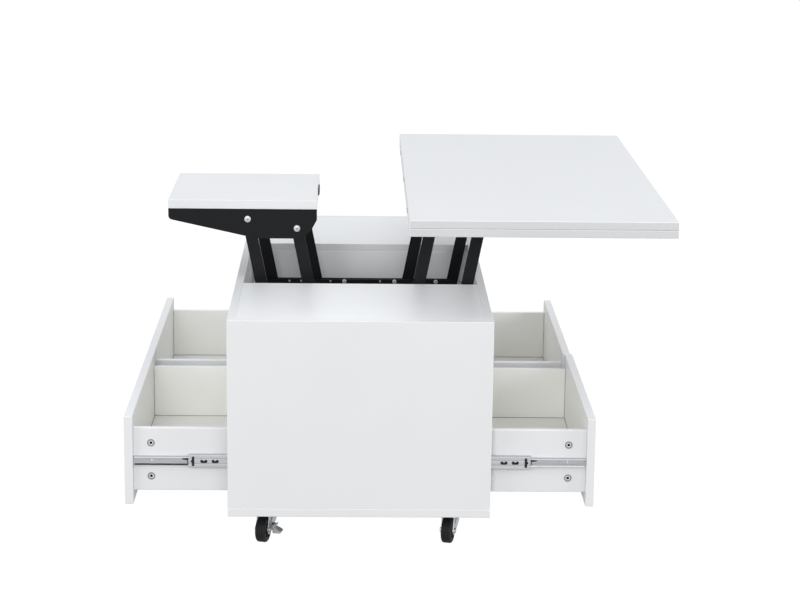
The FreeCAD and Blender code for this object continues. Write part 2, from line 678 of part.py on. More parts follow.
def fork_cheek(inner_face, outwards):
    """One cheek of a fork: a stamped plate with a round eye for the axle and a raised rib outside."""
    eye = FreeCAD.Vector(inner_face, -TRAIL, WHEEL_RADIUS)

    def on_eye(angle):
        return eye + FreeCAD.Vector(0, math.cos(angle), math.sin(angle)) * FORK_EYE

    rear_run = FORK_REAR + TRAIL
    rear_rise = FORK_REAR_BASE - WHEEL_RADIUS
    tangent = math.atan2(rear_rise, rear_run) - math.acos(FORK_EYE / math.hypot(rear_run, rear_rise))
    corners = [
        on_eye(-math.pi),
        FreeCAD.Vector(inner_face, FORK_FRONT_TOP, FORK_TOP),
        FreeCAD.Vector(inner_face, FORK_REAR, FORK_TOP),
        FreeCAD.Vector(inner_face, FORK_REAR, FORK_REAR_BASE),
        on_eye(tangent),
    ]
    edges = [Part.LineSegment(a, b).toShape() for a, b in zip(corners, corners[1:])]
    under = on_eye((tangent - math.pi) / 2)
    edges.append(Part.Arc(corners[-1], under, corners[0]).toShape())
    cheek = Part.Face(Part.Wire(edges)).extrude(FreeCAD.Vector(outwards * FORK_STEEL, 0, 0))
    outer_face = inner_face + outwards * FORK_STEEL
    low = FreeCAD.Vector(outer_face, *RIB_LOW)
    high = FreeCAD.Vector(outer_face, *RIB_HIGH)
    rib = Part.makeCylinder(RIB_RADIUS, (high - low).Length, low, high - low)
    ends = [Part.makeSphere(RIB_RADIUS, place) for place in (low, high)]
    return joined(cheek, rib, *ends)


def lever_lugs(outer_face):
    """The two lugs that hold the brake lever's pin."""
    x, z = LEVER_PIVOT
    lugs = []
    for end in ENDS:
        near = LEVER_MIDDLE + end * (LEVER_BARREL_WIDTH / 2 + SIDE_PLAY)
        y = (near, near + end * LUG_STEEL)
        stem = block((outer_face, x), y, (z - LEVER_BARREL_RADIUS, z + LEVER_BARREL_RADIUS))
        lugs.append(joined(stem, rod(x, z, LEVER_BARREL_RADIUS, y)))
    return lugs


def caster_fork(braked):
    """A stamped fork with its axle, and with the lever's lugs, pin and notch where there is a brake."""
    half = FORK_GAP / 2
    outside = half + FORK_STEEL
    crown_z = FORK_TOP - CASTER_PLATE_STEEL
    axle_y = -TRAIL
    crown = Part.makeCylinder(FORK_CROWN_RADIUS, CASTER_PLATE_STEEL, FreeCAD.Vector(0, 0, crown_z))
    fork = joined(crown, fork_cheek(-half, -1), fork_cheek(half, 1))
    through = (-FORK_GAP, FORK_GAP)
    fork = fork.cut(side_bar(axle_y, WHEEL_RADIUS, AXLE_RADIUS + RUNNING_CLEARANCE, through))
    low = FreeCAD.Vector(0, 0, crown_z)
    fork = fork.cut(Part.makeCylinder(KINGPIN_RADIUS + RUNNING_CLEARANCE, CASTER_PLATE_STEEL, low))
    axle = joined(
        side_bar(axle_y, WHEEL_RADIUS, AXLE_RADIUS, (-outside, outside)),
        side_bar(axle_y, WHEEL_RADIUS, AXLE_HEAD_RADIUS, (-outside, -outside - AXLE_HEAD)),
        side_bar(axle_y, WHEEL_RADIUS, AXLE_HEAD_RADIUS, (outside, outside + AXLE_HEAD)),
    )
    if not braked:
        return [fork, axle]
    notch_y = (LEVER_MIDDLE - NOTCH_WIDTH / 2, LEVER_MIDDLE + NOTCH_WIDTH / 2)
    fork = fork.cut(block((half, outside), notch_y, (0, NOTCH_TOP)))
    fork = joined(fork, *lever_lugs(outside))
    reach = LEVER_BARREL_WIDTH / 2 + SIDE_PLAY + LUG_STEEL
    pin_y = (LEVER_MIDDLE - reach, LEVER_MIDDLE + reach)
    x, z = LEVER_PIVOT
    fork = fork.cut(rod(x, z, LEVER_PIN_RADIUS + RUNNING_CLEARANCE, pin_y))
    return [fork, axle, rod(x, z, LEVER_PIN_RADIUS, pin_y)]


def caster_wheel():
    """A wheel with a rounded tread, recessed flanks and a hub, turned about its axle."""
    half = WHEEL_WIDTH / 2
    hub = HUB_WIDTH / 2
    bore = AXLE_RADIUS + RUNNING_CLEARANCE

    def at(x, radius):
        return FreeCAD.Vector(x, -TRAIL, WHEEL_RADIUS + radius)

    def side(sign):
        points = [
            at(sign * (half - WHEEL_EDGE), WHEEL_RADIUS),
            at(sign * half, WHEEL_RADIUS - WHEEL_EDGE),
            at(sign * half, RIM_RADIUS),
            at(sign * (half - RIM_RECESS), RIM_RADIUS),
            at(sign * (half - RIM_RECESS), HUB_RADIUS),
            at(sign * hub, HUB_RADIUS),
            at(sign * hub, bore),
        ]
        bend = WHEEL_EDGE * math.sqrt(0.5)
        shoulder = at(sign * (half - WHEEL_EDGE + bend), WHEEL_RADIUS - WHEEL_EDGE + bend)
        edges = [Part.Arc(points[0], shoulder, points[1]).toShape()]
        edges += [Part.LineSegment(a, b).toShape() for a, b in zip(points[1:], points[2:])]
        return points, edges

    right, right_edges = side(1)
    left, left_edges = side(-1)
    edges = right_edges + left_edges
    edges.append(Part.LineSegment(left[0], right[0]).toShape())
    edges.append(Part.LineSegment(left[-1], right[-1]).toShape())
    face = Part.Face(Part.Wire(Part.__sortEdges__(edges)))
    return face.revolve(FreeCAD.Vector(0, -TRAIL, WHEEL_RADIUS), FreeCAD.Vector(1, 0, 0), 360)


def blade(tip, stations, steel, corner):
    """A flat blade from the lever's pivot to a tip, through stations of (share of the way, width)."""
    x, z = LEVER_PIVOT
    way = FreeCAD.Vector(tip[0] - x, 0, tip[1] - z)
    up = FreeCAD.Vector(-way.z, 0, way.x).normalize() * steel
    start = FreeCAD.Vector(x, LEVER_MIDDLE, z) - up / 2
    near = [start + way * share - FreeCAD.Vector(0, width / 2, 0) for share, width in stations]
    far = [start + way * share + FreeCAD.Vector(0, width / 2, 0) for share, width in reversed(stations)]
    flat = Part.Face(Part.makePolygon(near + far + near[:1])).extrude(up)
    if corner == 0:
        return flat
    reach = way.Length
    tip_edges = []
    for edge in flat.Edges:
        away = edge.CenterOfMass - start - up / 2
        if abs(edge.Length - steel) < SAME_PLACE and away.dot(way) / reach > reach - SAME_PLACE:
            tip_edges.append(edge)
    return flat.makeFillet(corner, tip_edges)


def caster_pedal():
    """A rocking brake lever: a flared pedal, an ear to let go and a shoe that swings to the tyre's side."""
    x, z = LEVER_PIVOT
    width = LEVER_BARREL_WIDTH
    barrel_y = (LEVER_MIDDLE - width / 2, LEVER_MIDDLE + width / 2)
    pedal_stations = [(0, width), (PEDAL_WAIST, width), (1, PEDAL_TIP_WIDTH)]
    lever = joined(
        rod(x, z, LEVER_BARREL_RADIUS, barrel_y),
        blade(PEDAL_TIP, pedal_stations, LEVER_STEEL, PEDAL_CORNER),
        blade(EAR_TIP, [(0, EAR_WIDTH), (1, EAR_WIDTH)], LEVER_STEEL, EAR_CORNER),
        blade(SHOE_TIP, [(0, SHOE_WIDTH), (1, SHOE_WIDTH)], SHOE_STEEL, 0),
    )
    return lever.cut(rod(x, z, LEVER_PIN_RADIUS + RUNNING_CLEARANCE, barrel_y))


def make_casters():
    """Four swivel casters, two of them with brakes."""
    plates = []
    for name, turn in CASTER_TURN.items():
        x = CASTER_X if "right" in name else -CASTER_X
        y = CASTER_Y if "rear" in name else -CASTER_Y
        braked = name in BRAKED_CASTERS
        half = CASTER_PLATE / 2
        plate_z = BASE_Z - CASTER_PLATE_STEEL
        flat = block((-half, half), (-half, half), (plate_z, BASE_Z))
        upright = [e for e in flat.Edges if abs(e.BoundBox.ZLength - CASTER_PLATE_STEEL) < SAME_PLACE]
        flat = flat.makeFillet(CASTER_PLATE_CORNER, upright)
        race_z = FORK_TOP + SIDE_PLAY
        race_low = FreeCAD.Vector(0, 0, race_z)
        race = Part.makeCone(RACE_RADIUS - RACE_TAPER, RACE_RADIUS, plate_z - race_z, race_low)
        crown_low = FORK_TOP - CASTER_PLATE_STEEL
        pin_low = crown_low - SIDE_PLAY
        kingpin = Part.makeCylinder(KINGPIN_RADIUS, race_z - pin_low, FreeCAD.Vector(0, 0, pin_low))
        head_low = FreeCAD.Vector(0, 0, pin_low - KINGPIN_HEAD)
        head = Part.makeCylinder(KINGPIN_HEAD_RADIUS, KINGPIN_HEAD, head_low)
        plates.append(turned(joined(flat, race, kingpin, head), x, y, 0))
        save(name + "_caster_fork", *[turned(piece, x, y, turn) for piece in caster_fork(braked)])
        save(name + "_caster_wheel", turned(caster_wheel(), x, y, turn))
        if braked:
            save(name + "_brake_pedal", turned(caster_pedal(), x, y, turn))
    save("caster_plates", *plates)


os.makedirs("parts", exist_ok=True)
make_cabinet()
make_cabinet_runners()
for side_name, side_sign in (("left", -1), ("right", 1)):
    for end_name, end_sign in (("front", -1), ("rear", 1)):
        make_drawer(side_name + "_" + end_name, side_sign, end_sign)
make_base_plates()
make_ground_pins()
make_arms()
make_top_lift()
make_panel_lift()
make_casters()
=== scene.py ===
import json
import math

import bmesh
import bpy
from mathutils import Matrix, Vector


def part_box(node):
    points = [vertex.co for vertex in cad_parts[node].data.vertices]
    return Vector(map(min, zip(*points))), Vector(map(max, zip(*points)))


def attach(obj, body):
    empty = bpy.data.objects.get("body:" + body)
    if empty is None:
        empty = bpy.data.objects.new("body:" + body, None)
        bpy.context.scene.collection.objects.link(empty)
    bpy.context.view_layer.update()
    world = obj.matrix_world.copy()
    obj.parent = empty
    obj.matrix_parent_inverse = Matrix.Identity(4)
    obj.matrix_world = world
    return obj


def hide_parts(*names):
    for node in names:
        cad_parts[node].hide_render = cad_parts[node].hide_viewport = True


# The looks of a coffee table that turns into a dining table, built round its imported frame. Lengths are in
# metres, and every piece takes its place from the node or joint that carries it.
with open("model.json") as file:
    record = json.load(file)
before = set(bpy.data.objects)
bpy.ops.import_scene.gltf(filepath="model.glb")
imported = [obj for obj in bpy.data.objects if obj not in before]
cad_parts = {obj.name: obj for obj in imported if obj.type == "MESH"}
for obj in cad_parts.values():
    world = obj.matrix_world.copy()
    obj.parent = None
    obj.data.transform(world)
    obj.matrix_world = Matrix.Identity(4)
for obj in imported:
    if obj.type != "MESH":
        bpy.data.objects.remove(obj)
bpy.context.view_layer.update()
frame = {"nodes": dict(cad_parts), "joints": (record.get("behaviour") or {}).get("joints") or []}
NODES = frame["nodes"]
JOINTS = {joint["name"]: joint for joint in frame["joints"]}
DRAWERS = ("left_front", "left_rear", "right_front", "right_rear")
CASTERS = ("front_left", "front_right", "rear_left", "rear_right")
BRAKED_CASTERS = ("front_left", "rear_right")
X = 0
Y = 1
UP = Vector((0, 0, 1))
BOTH_ENDS = (-1, 1)
MILLIMETRE = 0.001

# Camera, from the straight edges in the photograph
LENS = 97.75
SENSOR_WIDTH = 36.0
CAMERA_PLACE = (-0.08336, -4.42994, 1.44738)
CAMERA_PITCH = math.radians(13.569)
CAMERA_YAW = math.radians(1.242)
CAMERA_ROLL = math.radians(0.697)

# Studio
FLOOR_HALF = 40.0
FLOOR_GLOW = 0.99
FLOOR_BOUNCE = 0.22
FLOOR_SHEEN = 0.70
FLOOR_TONE = 0.05
SKY_STRENGTH = 0.82
SKY_TINT = (0.978, 1.0, 1.028)
SOFTBOXES = {
    "front_softbox": ((-0.6, -4.4, 1.8), 50.0),
    "front_right_softbox": ((2.6, -3.6, 1.5), 18.0),
    "right_softbox": ((3.5, -0.9, 1.3), 62.0),
    "left_softbox": ((-3.1, -2.2, 1.05), 26.0),
    "back_softbox": ((-0.6, 3.5, 3.5), 18.0),
}
SOFTBOX_AIM = (0.0, 0.0, 0.3)
SOFTBOX_SIZE = 1.8
SOFTBOX_TINT = (1.0, 0.995, 0.985)

# Board tones, as the share of light that they throw back. Of these, the lighter broken edges, ledges, wall
# tops, drawer rims and drawer linings are painted light, and the darker front faces of the leaves, the
# support panel and the ledges are painted shade.
OUTER_TONE = 0.79
EDGE_HIGHLIGHT_TONE = 0.84
LEAF_TONE = 0.77
LEDGE_PAINTED_LIGHT_TONE = 0.92
WALL_TOP_PAINTED_LIGHT_TONE = 0.87
LINING_PAINTED_LIGHT_TONE = 0.90
LEAF_FRONT_SHADE_TONE = 0.65
PANEL_FRONT_SHADE_TONE = 0.75
LEDGE_FRONT_SHADE_TONE = 0.72
BOX_RIM_HIGHLIGHT_TONE = 0.92
FRONT_RIM_HIGHLIGHT_TONE = 0.84

# Finish of the boards, with bumps as a strength and a height
COOL_WHITE = (0.987, 0.994, 1.006)
# The warm white is painted light on the drawer linings.
WARM_PAINTED_LIGHT_TINT = (1.0, 0.995, 0.958)
SEAM_COLOUR = (0.20, 0.20, 0.195)
BOARD_IOR = 1.5
BOARD_GRAIN = {"Grain": 0.0011, "Drift Size": 0.16}
BOARD_DRIFT = (0.99, 1.01)
BOARD_ROUGHNESS = (0.31, 0.36)
BOARD_BUMP = (0.03, 0.0002)

# Finishes of steel, plastic and rubber, with tints as shares of a tone
COAT_SHINE = 0.16
COAT_GRAIN = {"Grain": 0.0006, "Drift Size": 0.05}
COAT_COLOURS = ((0.0050, 0.0053, 0.0068), (0.0078, 0.0082, 0.0102))
COAT_RUB = 0.35
COAT_RUB_COLOUR = (0.03, 0.031, 0.034)
COAT_ROUGHNESS = (0.40, 0.50)
COAT_BUMP = (0.25, 0.0001)
ALONG_X = (12.0, 900.0, 900.0)
ALL_ROUND = (260.0, 260.0, 260.0)
ZINC_GRAIN = {"Grain": 0.0012, "Drift Size": 0.02}
ZINC_DARK = (0.8, 0.82, 0.85)
ZINC_LIGHT = (1.0, 1.02, 1.03)
ZINC_BLOOM = (0.9, 0.94, 1.0)
ZINC_BLOOM_COVER = 0.3
ZINC_ROUGHNESS_SPREAD = 0.14
ZINC_BUMP = (0.10, 0.0001)
MOULDING_SHINE = 0.25
MOULDING_DRIFT_SIZE = 0.015
MOULDING_DARK = (1.0, 1.0, 1.05)
MOULDING_LIGHT = (1.5, 1.5, 1.6)
MOULDING_ROUGHNESS_SPREAD = 0.05
MOULDING_BUMP = (0.3, 0.0001)

# Patterns and masks of all finishes
PEBBLE_DETAIL = 2.0
DRIFT_DETAIL = 3.0
STREAK_DETAIL = 3.0
NOISE_MIDDLE = (0.3, 0.7)
EDGE_TURN = (0.985, 0.93)
FACE_TURN = 0.5

# Meshes
SHARP_EDGE = math.radians(32)
MERGE_REACH = 1e-6
SORT_DIGITS = 4
BOX_FACES = ((0, 1, 3, 2), (4, 6, 7, 5), (0, 4, 5, 1), (2, 3, 7, 6), (0, 2, 6, 4), (1, 5, 7, 3))

# Bolts and screws
HEAD_SIDES = 28
HEAD_RINGS = 4
HEX_SIDES = 6
# The discs in the floors of sockets and recesses, darker than the heads, are painted shade.
SHADE_DISC_FIT = 0.98
PIVOT_HEAD = 0.004
PIVOT_CROWN = 0.0009
PIVOT_SOCKET = 0.0022
PIVOT_SOCKET_DEPTH = 0.0022
PIVOT_SHADE_DROP = PIVOT_SOCKET_DEPTH * 0.65
PIVOT_SHADE_THICK = PIVOT_SOCKET_DEPTH * 0.3
PIVOT_SHANK = 0.004
CAM_FACE_DEPTH = 0.0004
CAM_FACE_SHARE = 0.62
CAM_CENTRE = 0.0029
CAM_CENTRE_DEPTH = 0.0025
CAM_SHADE_DROP = CAM_CENTRE_DEPTH * 0.5
CAM_SHADE_THICK = CAM_CENTRE_DEPTH * 0.4
CAM_CROSS = (0.0078, 0.0014, 0.0006)
PAN_SCREW = {"Radius": 0.0038, "Height": 0.0018, "Crown": 0.0007, "Recess": 0.0042, "Recess Width": 0.0011}
FLAT_SCREW = {"Radius": 0.0034, "Height": 0.0004, "Crown": 0.0001, "Recess": 0.0038, "Recess Width": 0.0010}
PLATE_BOLT = {"Radius": 0.0044, "Height": 0.0026, "Crown": 0.0012, "Recess": 0.0044, "Recess Width": 0.0010}
PLATE_RIVET = {"Radius": 0.0024, "Height": 0.0012, "Crown": 0.0006}
RECESS_DEPTH = 0.0012
RECESS_SHADE_DROP = RECESS_DEPTH * 0.6
RECESS_SHADE_THICK = RECESS_DEPTH * 0.3
FLANGE_SCREW_SHARES = (0.12, 0.5, 0.88)
FLANGE_STEEL = 0.003
PANEL_FLANGE_MIDDLE = 0.131
TOP_FLANGE_MIDDLE = 0.1802
INNER_PLATE_FACE = 0.131
PLATE_BOLT_PLACES = (-0.105, 0.003, 0.092)
PLATE_RIVET_PLACES = (-0.223, -0.198, -0.135, -0.028, 0.145)
PLATE_BOLT_DROP = 0.0038
FOOT_SCREW_SHARES = (0.08, 0.36, 0.64, 0.92)
FOOT_MIDDLE = 0.116
HINGE_SCREW_SHARES = (0.15, 0.5, 0.85)
HINGE_SCREW_IN = 0.019
HINGE_FACE_DROP = 0.00055

# Drawer boxes
BOX_WALL = 0.012
BOX_BOTTOM_TOP = 0.017
BOX_HEADROOM = 0.05
LINING_REACH = 0.0005
SEAM_REACH = 0.0013
RIM_BAND = 0.001

# Drawer slides
RAIL_STEEL = 0.0011
RAIL_BEND = 0.0016
BEND_STEPS = 5
LIP_CURL = 0.0022
GROOVE_HEIGHT = 0.0049
GROOVE_HALF = 0.0006
GROOVE_DEPTH = 0.0010
GROOVE_BEND = 0.0003
GROOVE_STEPS = ((0, 2), (1, 1), (1, -1), (0, -2))
STOP_SETBACK = 0.0090
STOP_SIZE = (0.0045, 0.0007, 0.0184)
STOP_NUB = (0.0020, 0.0007, 0.0044)
WINDOW_SETBACKS = (0.0293, 0.0509)
WINDOW_CORNER_STEPS = 6
WINDOW = {"Length": 0.0136, "Width": 0.0066, "Stand": 0.0003}
CAGE_TAB = {"Length": 0.0044, "Width": 0.0026, "Stand": 0.0005}
CAGE_TAB_LIFT = 0.0024
LEVER_OUT = 0.0127
LEVER_TOP = 0.0034
LEVER_ROOT = 0.0036
LEVER_TIP = 0.0012
LEVER_TIP_DROP = 0.0010
LEVER_BAR = 0.0024
LEVER_FOOT = 0.0068
LEVER_THICK = 0.0018
# A thin strip along each drawer rail's lower lip: painted shade on the left drawers, a painted highlight on
# the right ones.
PAINTED_STRIP_INSET = 0.0018
PAINTED_STRIP_GAP = 0.0004
PAINTED_STRIP_HEIGHT = 0.0028
PAINTED_STRIP_THICK = 0.00005
RAIL_SCREW_SETBACKS = (0.0245, 0.1300, 0.1700)
RAIL_SLOT_SETBACK = 0.0340
RAIL_SLOT = {"Length": 0.0024, "Width": 0.0060, "Stand": 0.0002}
RAIL_DIMPLE_SETBACK = 0.0487
RAIL_DIMPLE = {"Radius": 0.0009, "Height": 0.0003, "Crown": 0.0001}

# Casters
WHEEL_STEPS = 72
TYRE_INNER = 0.0165
TYRE_EDGE = 0.0045
TYRE_HALF = 0.0100
SHOULDER_STEPS = 6
TYRE_GROOVES = (-0.0040, 0.0, 0.0040)
TYRE_GROOVE_DEPTH = 0.0006
TYRE_GROOVE_HALF = 0.0005
HUB_RADIUS = 0.0090
HUB_HALF = 0.0105
HUB_DRAFT = 0.0004
WEB_HALF = 0.0070
RIM_INNER = 0.0152
RIM_STEP = 0.0006
BORE = 0.00305
SPOKES = 6
SPOKE_THICK = 0.0018
SPOKE_ENDS = (0.0082, 0.0156)
SPOKE_FACES = (0.0066, 0.0090)
AXLE_RIVET = {"Radius": 0.0054, "Height": 0.0029, "Crown": 0.0013}
LEVER_FLANGE = (
    (2.2, -1.8), (-0.3, -3.2), (-1.3, -8.0), (-0.9, -12.8), (0.5, -14.6), (14.3, -14.4),
    (15.7, -13.4), (15.9, -12.0), (5.1, -1.4), (8.5, 4.4), (7.5, 5.4), (2.2, 1.8),
)
LEVER_FLANGE_SETBACK = 0.0060
LEVER_FLANGE_STEEL = 0.0012
CASTER_SCREW_INSET = 0.0055
CASTER_PLATE_STEEL = 0.0025
FORK_HALF = 0.013


def add(tree, kind, inputs=None, **settings):
    """A node with its settings, each input set to a value or linked from one or more sockets."""
    node = tree.nodes.new(kind)
    for name, value in settings.items():
        setattr(node, name, value)
    for key, value in (inputs or {}).items():
        for source in value if isinstance(value, list) else [value]:
            if isinstance(source, bpy.types.NodeSocket):
                tree.links.new(source, node.inputs[key])
            else:
                node.inputs[key].default_value = source
    return node


def sum_of(tree, operation, *values):
    """A math node's result."""
    return add(tree, "ShaderNodeMath", dict(enumerate(values)), operation=operation).outputs[0]


def half_of(tree, value):
    """Half of a value."""
    return sum_of(tree, "MULTIPLY", value, 0.5)


def vector_of(tree, x=0.0, y=0.0, z=0.0):
    """Three values as one vector."""
    return add(tree, "ShaderNodeCombineXYZ", {0: x, 1: y, 2: z}).outputs[0]


def vector_sum(tree, operation, *vectors):
    """A vector math node's result."""
    return add(tree, "ShaderNodeVectorMath", dict(enumerate(vectors)), operation=operation).outputs[0]


def parts_of(tree, vector):
    """A vector's three values."""
    return add(tree, "ShaderNodeSeparateXYZ", {0: vector}).outputs


def new_tree(name, kind, inputs, outputs):
    """A node group with named sockets, and its two ends."""
    tree = bpy.data.node_groups.new(name, kind)
    for label, socket in inputs:
        tree.interface.new_socket(label, in_out="INPUT", socket_type="NodeSocket" + socket)
    for label, socket in outputs:
        tree.interface.new_socket(label, in_out="OUTPUT", socket_type="NodeSocket" + socket)
    return tree, tree.nodes.new("NodeGroupInput").outputs, tree.nodes.new("NodeGroupOutput").inputs


# Shader groups that several finishes share

def grain_group():
    """Fine pebble grain: a height for bump, and a slow drift of tone over the surface."""
    inputs = [("Grain", "Float"), ("Drift Size", "Float")]
    tree, given, out = new_tree("grain", "ShaderNodeTree", inputs, [("Height", "Float"), ("Drift", "Float")])
    place = add(tree, "ShaderNodeTexCoord").outputs["Object"]
    for size, detail, result in (("Grain", PEBBLE_DETAIL, "Height"), ("Drift Size", DRIFT_DETAIL, "Drift")):
        scale = sum_of(tree, "DIVIDE", 1.0, given[size])
        noise = add(tree, "ShaderNodeTexNoise", {"Vector": place, "Scale": scale, "Detail": detail})
        tree.links.new(noise.outputs["Fac"], out[result])
    return tree


def edge_group():
    """Masks of a board's broken edges, of its front and rear faces and of all its upright faces."""
    outputs = [("Mask", "Float"), ("Front", "Float"), ("Upright", "Float")]
    tree, _, out = new_tree("broken_edges", "ShaderNodeTree", [], outputs)
    facing = add(tree, "ShaderNodeNewGeometry").outputs["True Normal"]
    turned = add(tree, "ShaderNodeVectorTransform", {0: facing}, vector_type="NORMAL",
                 convert_from="WORLD", convert_to="OBJECT").outputs[0]
    parts = parts_of(tree, vector_sum(tree, "ABSOLUTE", turned))
    most = sum_of(tree, "MAXIMUM", sum_of(tree, "MAXIMUM", parts[0], parts[1]), parts[2])
    flat, broken = EDGE_TURN
    mask = add(tree, "ShaderNodeMapRange", {0: most, 1: flat, 2: broken, 3: 0.0, 4: 1.0})
    tree.links.new(mask.outputs[0], out["Mask"])
    tree.links.new(sum_of(tree, "GREATER_THAN", parts[1], FACE_TURN), out["Front"])
    tree.links.new(sum_of(tree, "LESS_THAN", parts[2], FACE_TURN), out["Upright"])
    return tree


def streak_group():
    """Rolling and brushing marks, drawn out along the direction that the stretch leaves long."""
    tree, given, out = new_tree("streaks", "ShaderNodeTree", [("Stretch", "Vector")], [("Streak", "Float")])
    place = add(tree, "ShaderNodeTexCoord").outputs["Object"]
    drawn = add(tree, "ShaderNodeMapping", {"Vector": place, "Scale": given["Stretch"]}).outputs[0]
    marks = add(tree, "ShaderNodeTexNoise", {"Vector": drawn, "Scale": 1.0, "Detail": STREAK_DETAIL})
    tree.links.new(marks.outputs["Fac"], out["Streak"])
    return tree


def inside_group():
    """Masks of the faces that line a box given by its two corners, and of its seams below a rim."""
    inputs = [("Low", "Vector"), ("High", "Vector"), ("Rim", "Float"), ("Seam", "Float")]
    outputs = [("Mask", "Float"), ("Seams", "Float")]
    tree, given, out = new_tree("lining", "ShaderNodeTree", inputs, outputs)
    place = add(tree, "ShaderNodeTexCoord").outputs["Object"]
    above = vector_sum(tree, "SUBTRACT", place, given["Low"])
    below = vector_sum(tree, "SUBTRACT", given["High"], place)
    parts = parts_of(tree, vector_sum(tree, "MINIMUM", above, below))
    less = sum_of(tree, "MINIMUM", parts[0], parts[1])
    more = sum_of(tree, "MAXIMUM", parts[0], parts[1])
    least = sum_of(tree, "MINIMUM", less, parts[2])
    second = sum_of(tree, "MAXIMUM", less, sum_of(tree, "MINIMUM", more, parts[2]))
    inside = sum_of(tree, "GREATER_THAN", least, 0.0)
    below_rim = sum_of(tree, "LESS_THAN", parts_of(tree, place)[2], given["Rim"])
    seam = sum_of(tree, "LESS_THAN", second, given["Seam"])
    tree.links.new(inside, out["Mask"])
    tree.links.new(sum_of(tree, "MULTIPLY", sum_of(tree, "MULTIPLY", seam, below_rim), inside), out["Seams"])
    return tree


GRAIN = grain_group()
EDGES = edge_group()
STREAKS = streak_group()
LINING = inside_group()


# Finishes

def use(tree, group, inputs=None):
    """A shared group placed in a finish with its own values, as its outputs."""
    return add(tree, "ShaderNodeGroup", inputs, node_tree=group).outputs


def mixed(tree, mask, first, second):
    """Two colours mixed by a mask."""
    return add(tree, "ShaderNodeMix", {0: mask, 6: first, 7: second}, data_type="RGBA").outputs[2]


def ranged(tree, noise, low=0.0, high=1.0):
    """A noise spread between two values, with its middle stretched out."""
    start, end = NOISE_MIDDLE
    return add(tree, "ShaderNodeMapRange", {0: noise, 1: start, 2: end, 3: low, 4: high}).outputs[0]


def bumped(tree, height, strength, distance):
    """A normal from a height."""
    inputs = {"Strength": strength, "Distance": distance, "Height": height}
    return add(tree, "ShaderNodeBump", inputs).outputs[0]


def rgb(red, green, blue):
    """A colour with full cover."""
    return (red, green, blue, 1.0)


def tinted(tone, tint):
    """A colour from a tone and the shares of it that are red, green and blue."""
    return rgb(*(tone * share for share in tint))


def finish(name, **constants):
    """An empty material and its shader, with the values that are the same all over."""
    material = bpy.data.materials.new(name)
    material.use_nodes = True
    tree = material.node_tree
    shader = tree.nodes["Principled BSDF"]
    for socket, value in constants.items():
        shader.inputs[socket.replace("_", " ")].default_value = value
    return material, tree, shader.inputs


def lay_on(tree, shader, colour, roughness, normal):
    """Lead what changes over the surface into a finish's shader."""
    for socket, value in (("Base Color", colour), ("Roughness", roughness), ("Normal", normal)):
        tree.links.new(value, shader[socket])


def drifting(tree, drift, tone, tint):
    """A board's tone, which drifts a little over the surface."""
    low, high = BOARD_DRIFT
    return mixed(tree, drift, tinted(tone * low, tint), tinted(tone * high, tint))


def white_melamine(name, tone=OUTER_TONE, front=None, upright=None, box=None):
    """Satin white board, with a painted highlight in one tone on the broken edges of all boards.

    Its front and rear faces, or all its upright faces, can have a tone of their own, which paints the light
    and shade that fall on them. In a drawer, given by the corners of its inside and its rim, its lining is
    painted lighter and warmer as painted light, and has dark seams.
    """
    material, tree, shader = finish(name, IOR=BOARD_IOR)
    grain = use(tree, GRAIN, BOARD_GRAIN)
    drift = ranged(tree, grain["Drift"])
    edges = use(tree, EDGES)
    colour = drifting(tree, drift, tone, COOL_WHITE)
    for mask, own in (("Upright", upright), ("Front", front)):
        if own:
            colour = mixed(tree, edges[mask], colour, drifting(tree, drift, own, COOL_WHITE))
    # Painted highlight: the broken edges of all boards are lighter than their faces.
    colour = mixed(tree, edges["Mask"], colour, tinted(EDGE_HIGHLIGHT_TONE, COOL_WHITE))
    if box:
        low, high, rim = box
        lining = use(tree, LINING, {"Low": low, "High": high, "Rim": rim, "Seam": SEAM_REACH})
        # Painted light: the inside of a drawer is the same board, painted lighter and warmer than its
        # outside.
        colour = mixed(tree, lining["Mask"], colour, drifting(tree, drift, LINING_PAINTED_LIGHT_TONE, WARM_PAINTED_LIGHT_TINT))
        colour = mixed(tree, lining["Seams"], colour, rgb(*SEAM_COLOUR))
    roughness = ranged(tree, grain["Drift"], *BOARD_ROUGHNESS)
    lay_on(tree, shader, colour, roughness, bumped(tree, grain["Height"], *BOARD_BUMP))
    return material


def black_powder_coat():
    """Black steel with a fine sprayed grain, rubbed a little on its edges."""
    material, tree, shader = finish("black_powder_coat", Specular_IOR_Level=COAT_SHINE)
    grain = use(tree, GRAIN, COAT_GRAIN)
    dark, light = COAT_COLOURS
    colour = mixed(tree, ranged(tree, grain["Height"]), rgb(*dark), rgb(*light))
    rubbed = sum_of(tree, "MULTIPLY", use(tree, EDGES)["Mask"], COAT_RUB)
    colour = mixed(tree, rubbed, colour, rgb(*COAT_RUB_COLOUR))
    roughness = ranged(tree, grain["Drift"], *COAT_ROUGHNESS)
    lay_on(tree, shader, colour, roughness, bumped(tree, grain["Height"], *COAT_BUMP))
    return material


def zinc(name, tone, stretch, rough, metal=1.0):
    """Zinc plate, streaked along its rolling direction, with a faint bloom."""
    material, tree, shader = finish(name, Metallic=metal)
    grain = use(tree, GRAIN, ZINC_GRAIN)
    streak = use(tree, STREAKS, {"Stretch": stretch})["Streak"]
    colour = mixed(tree, ranged(tree, streak), tinted(tone, ZINC_DARK), tinted(tone, ZINC_LIGHT))
    bloom = ranged(tree, grain["Drift"], 0.0, ZINC_BLOOM_COVER)
    colour = mixed(tree, bloom, colour, tinted(tone, ZINC_BLOOM))
    roughness = ranged(tree, streak, rough, rough + ZINC_ROUGHNESS_SPREAD)
    lay_on(tree, shader, colour, roughness, bumped(tree, streak, *ZINC_BUMP))
    return material


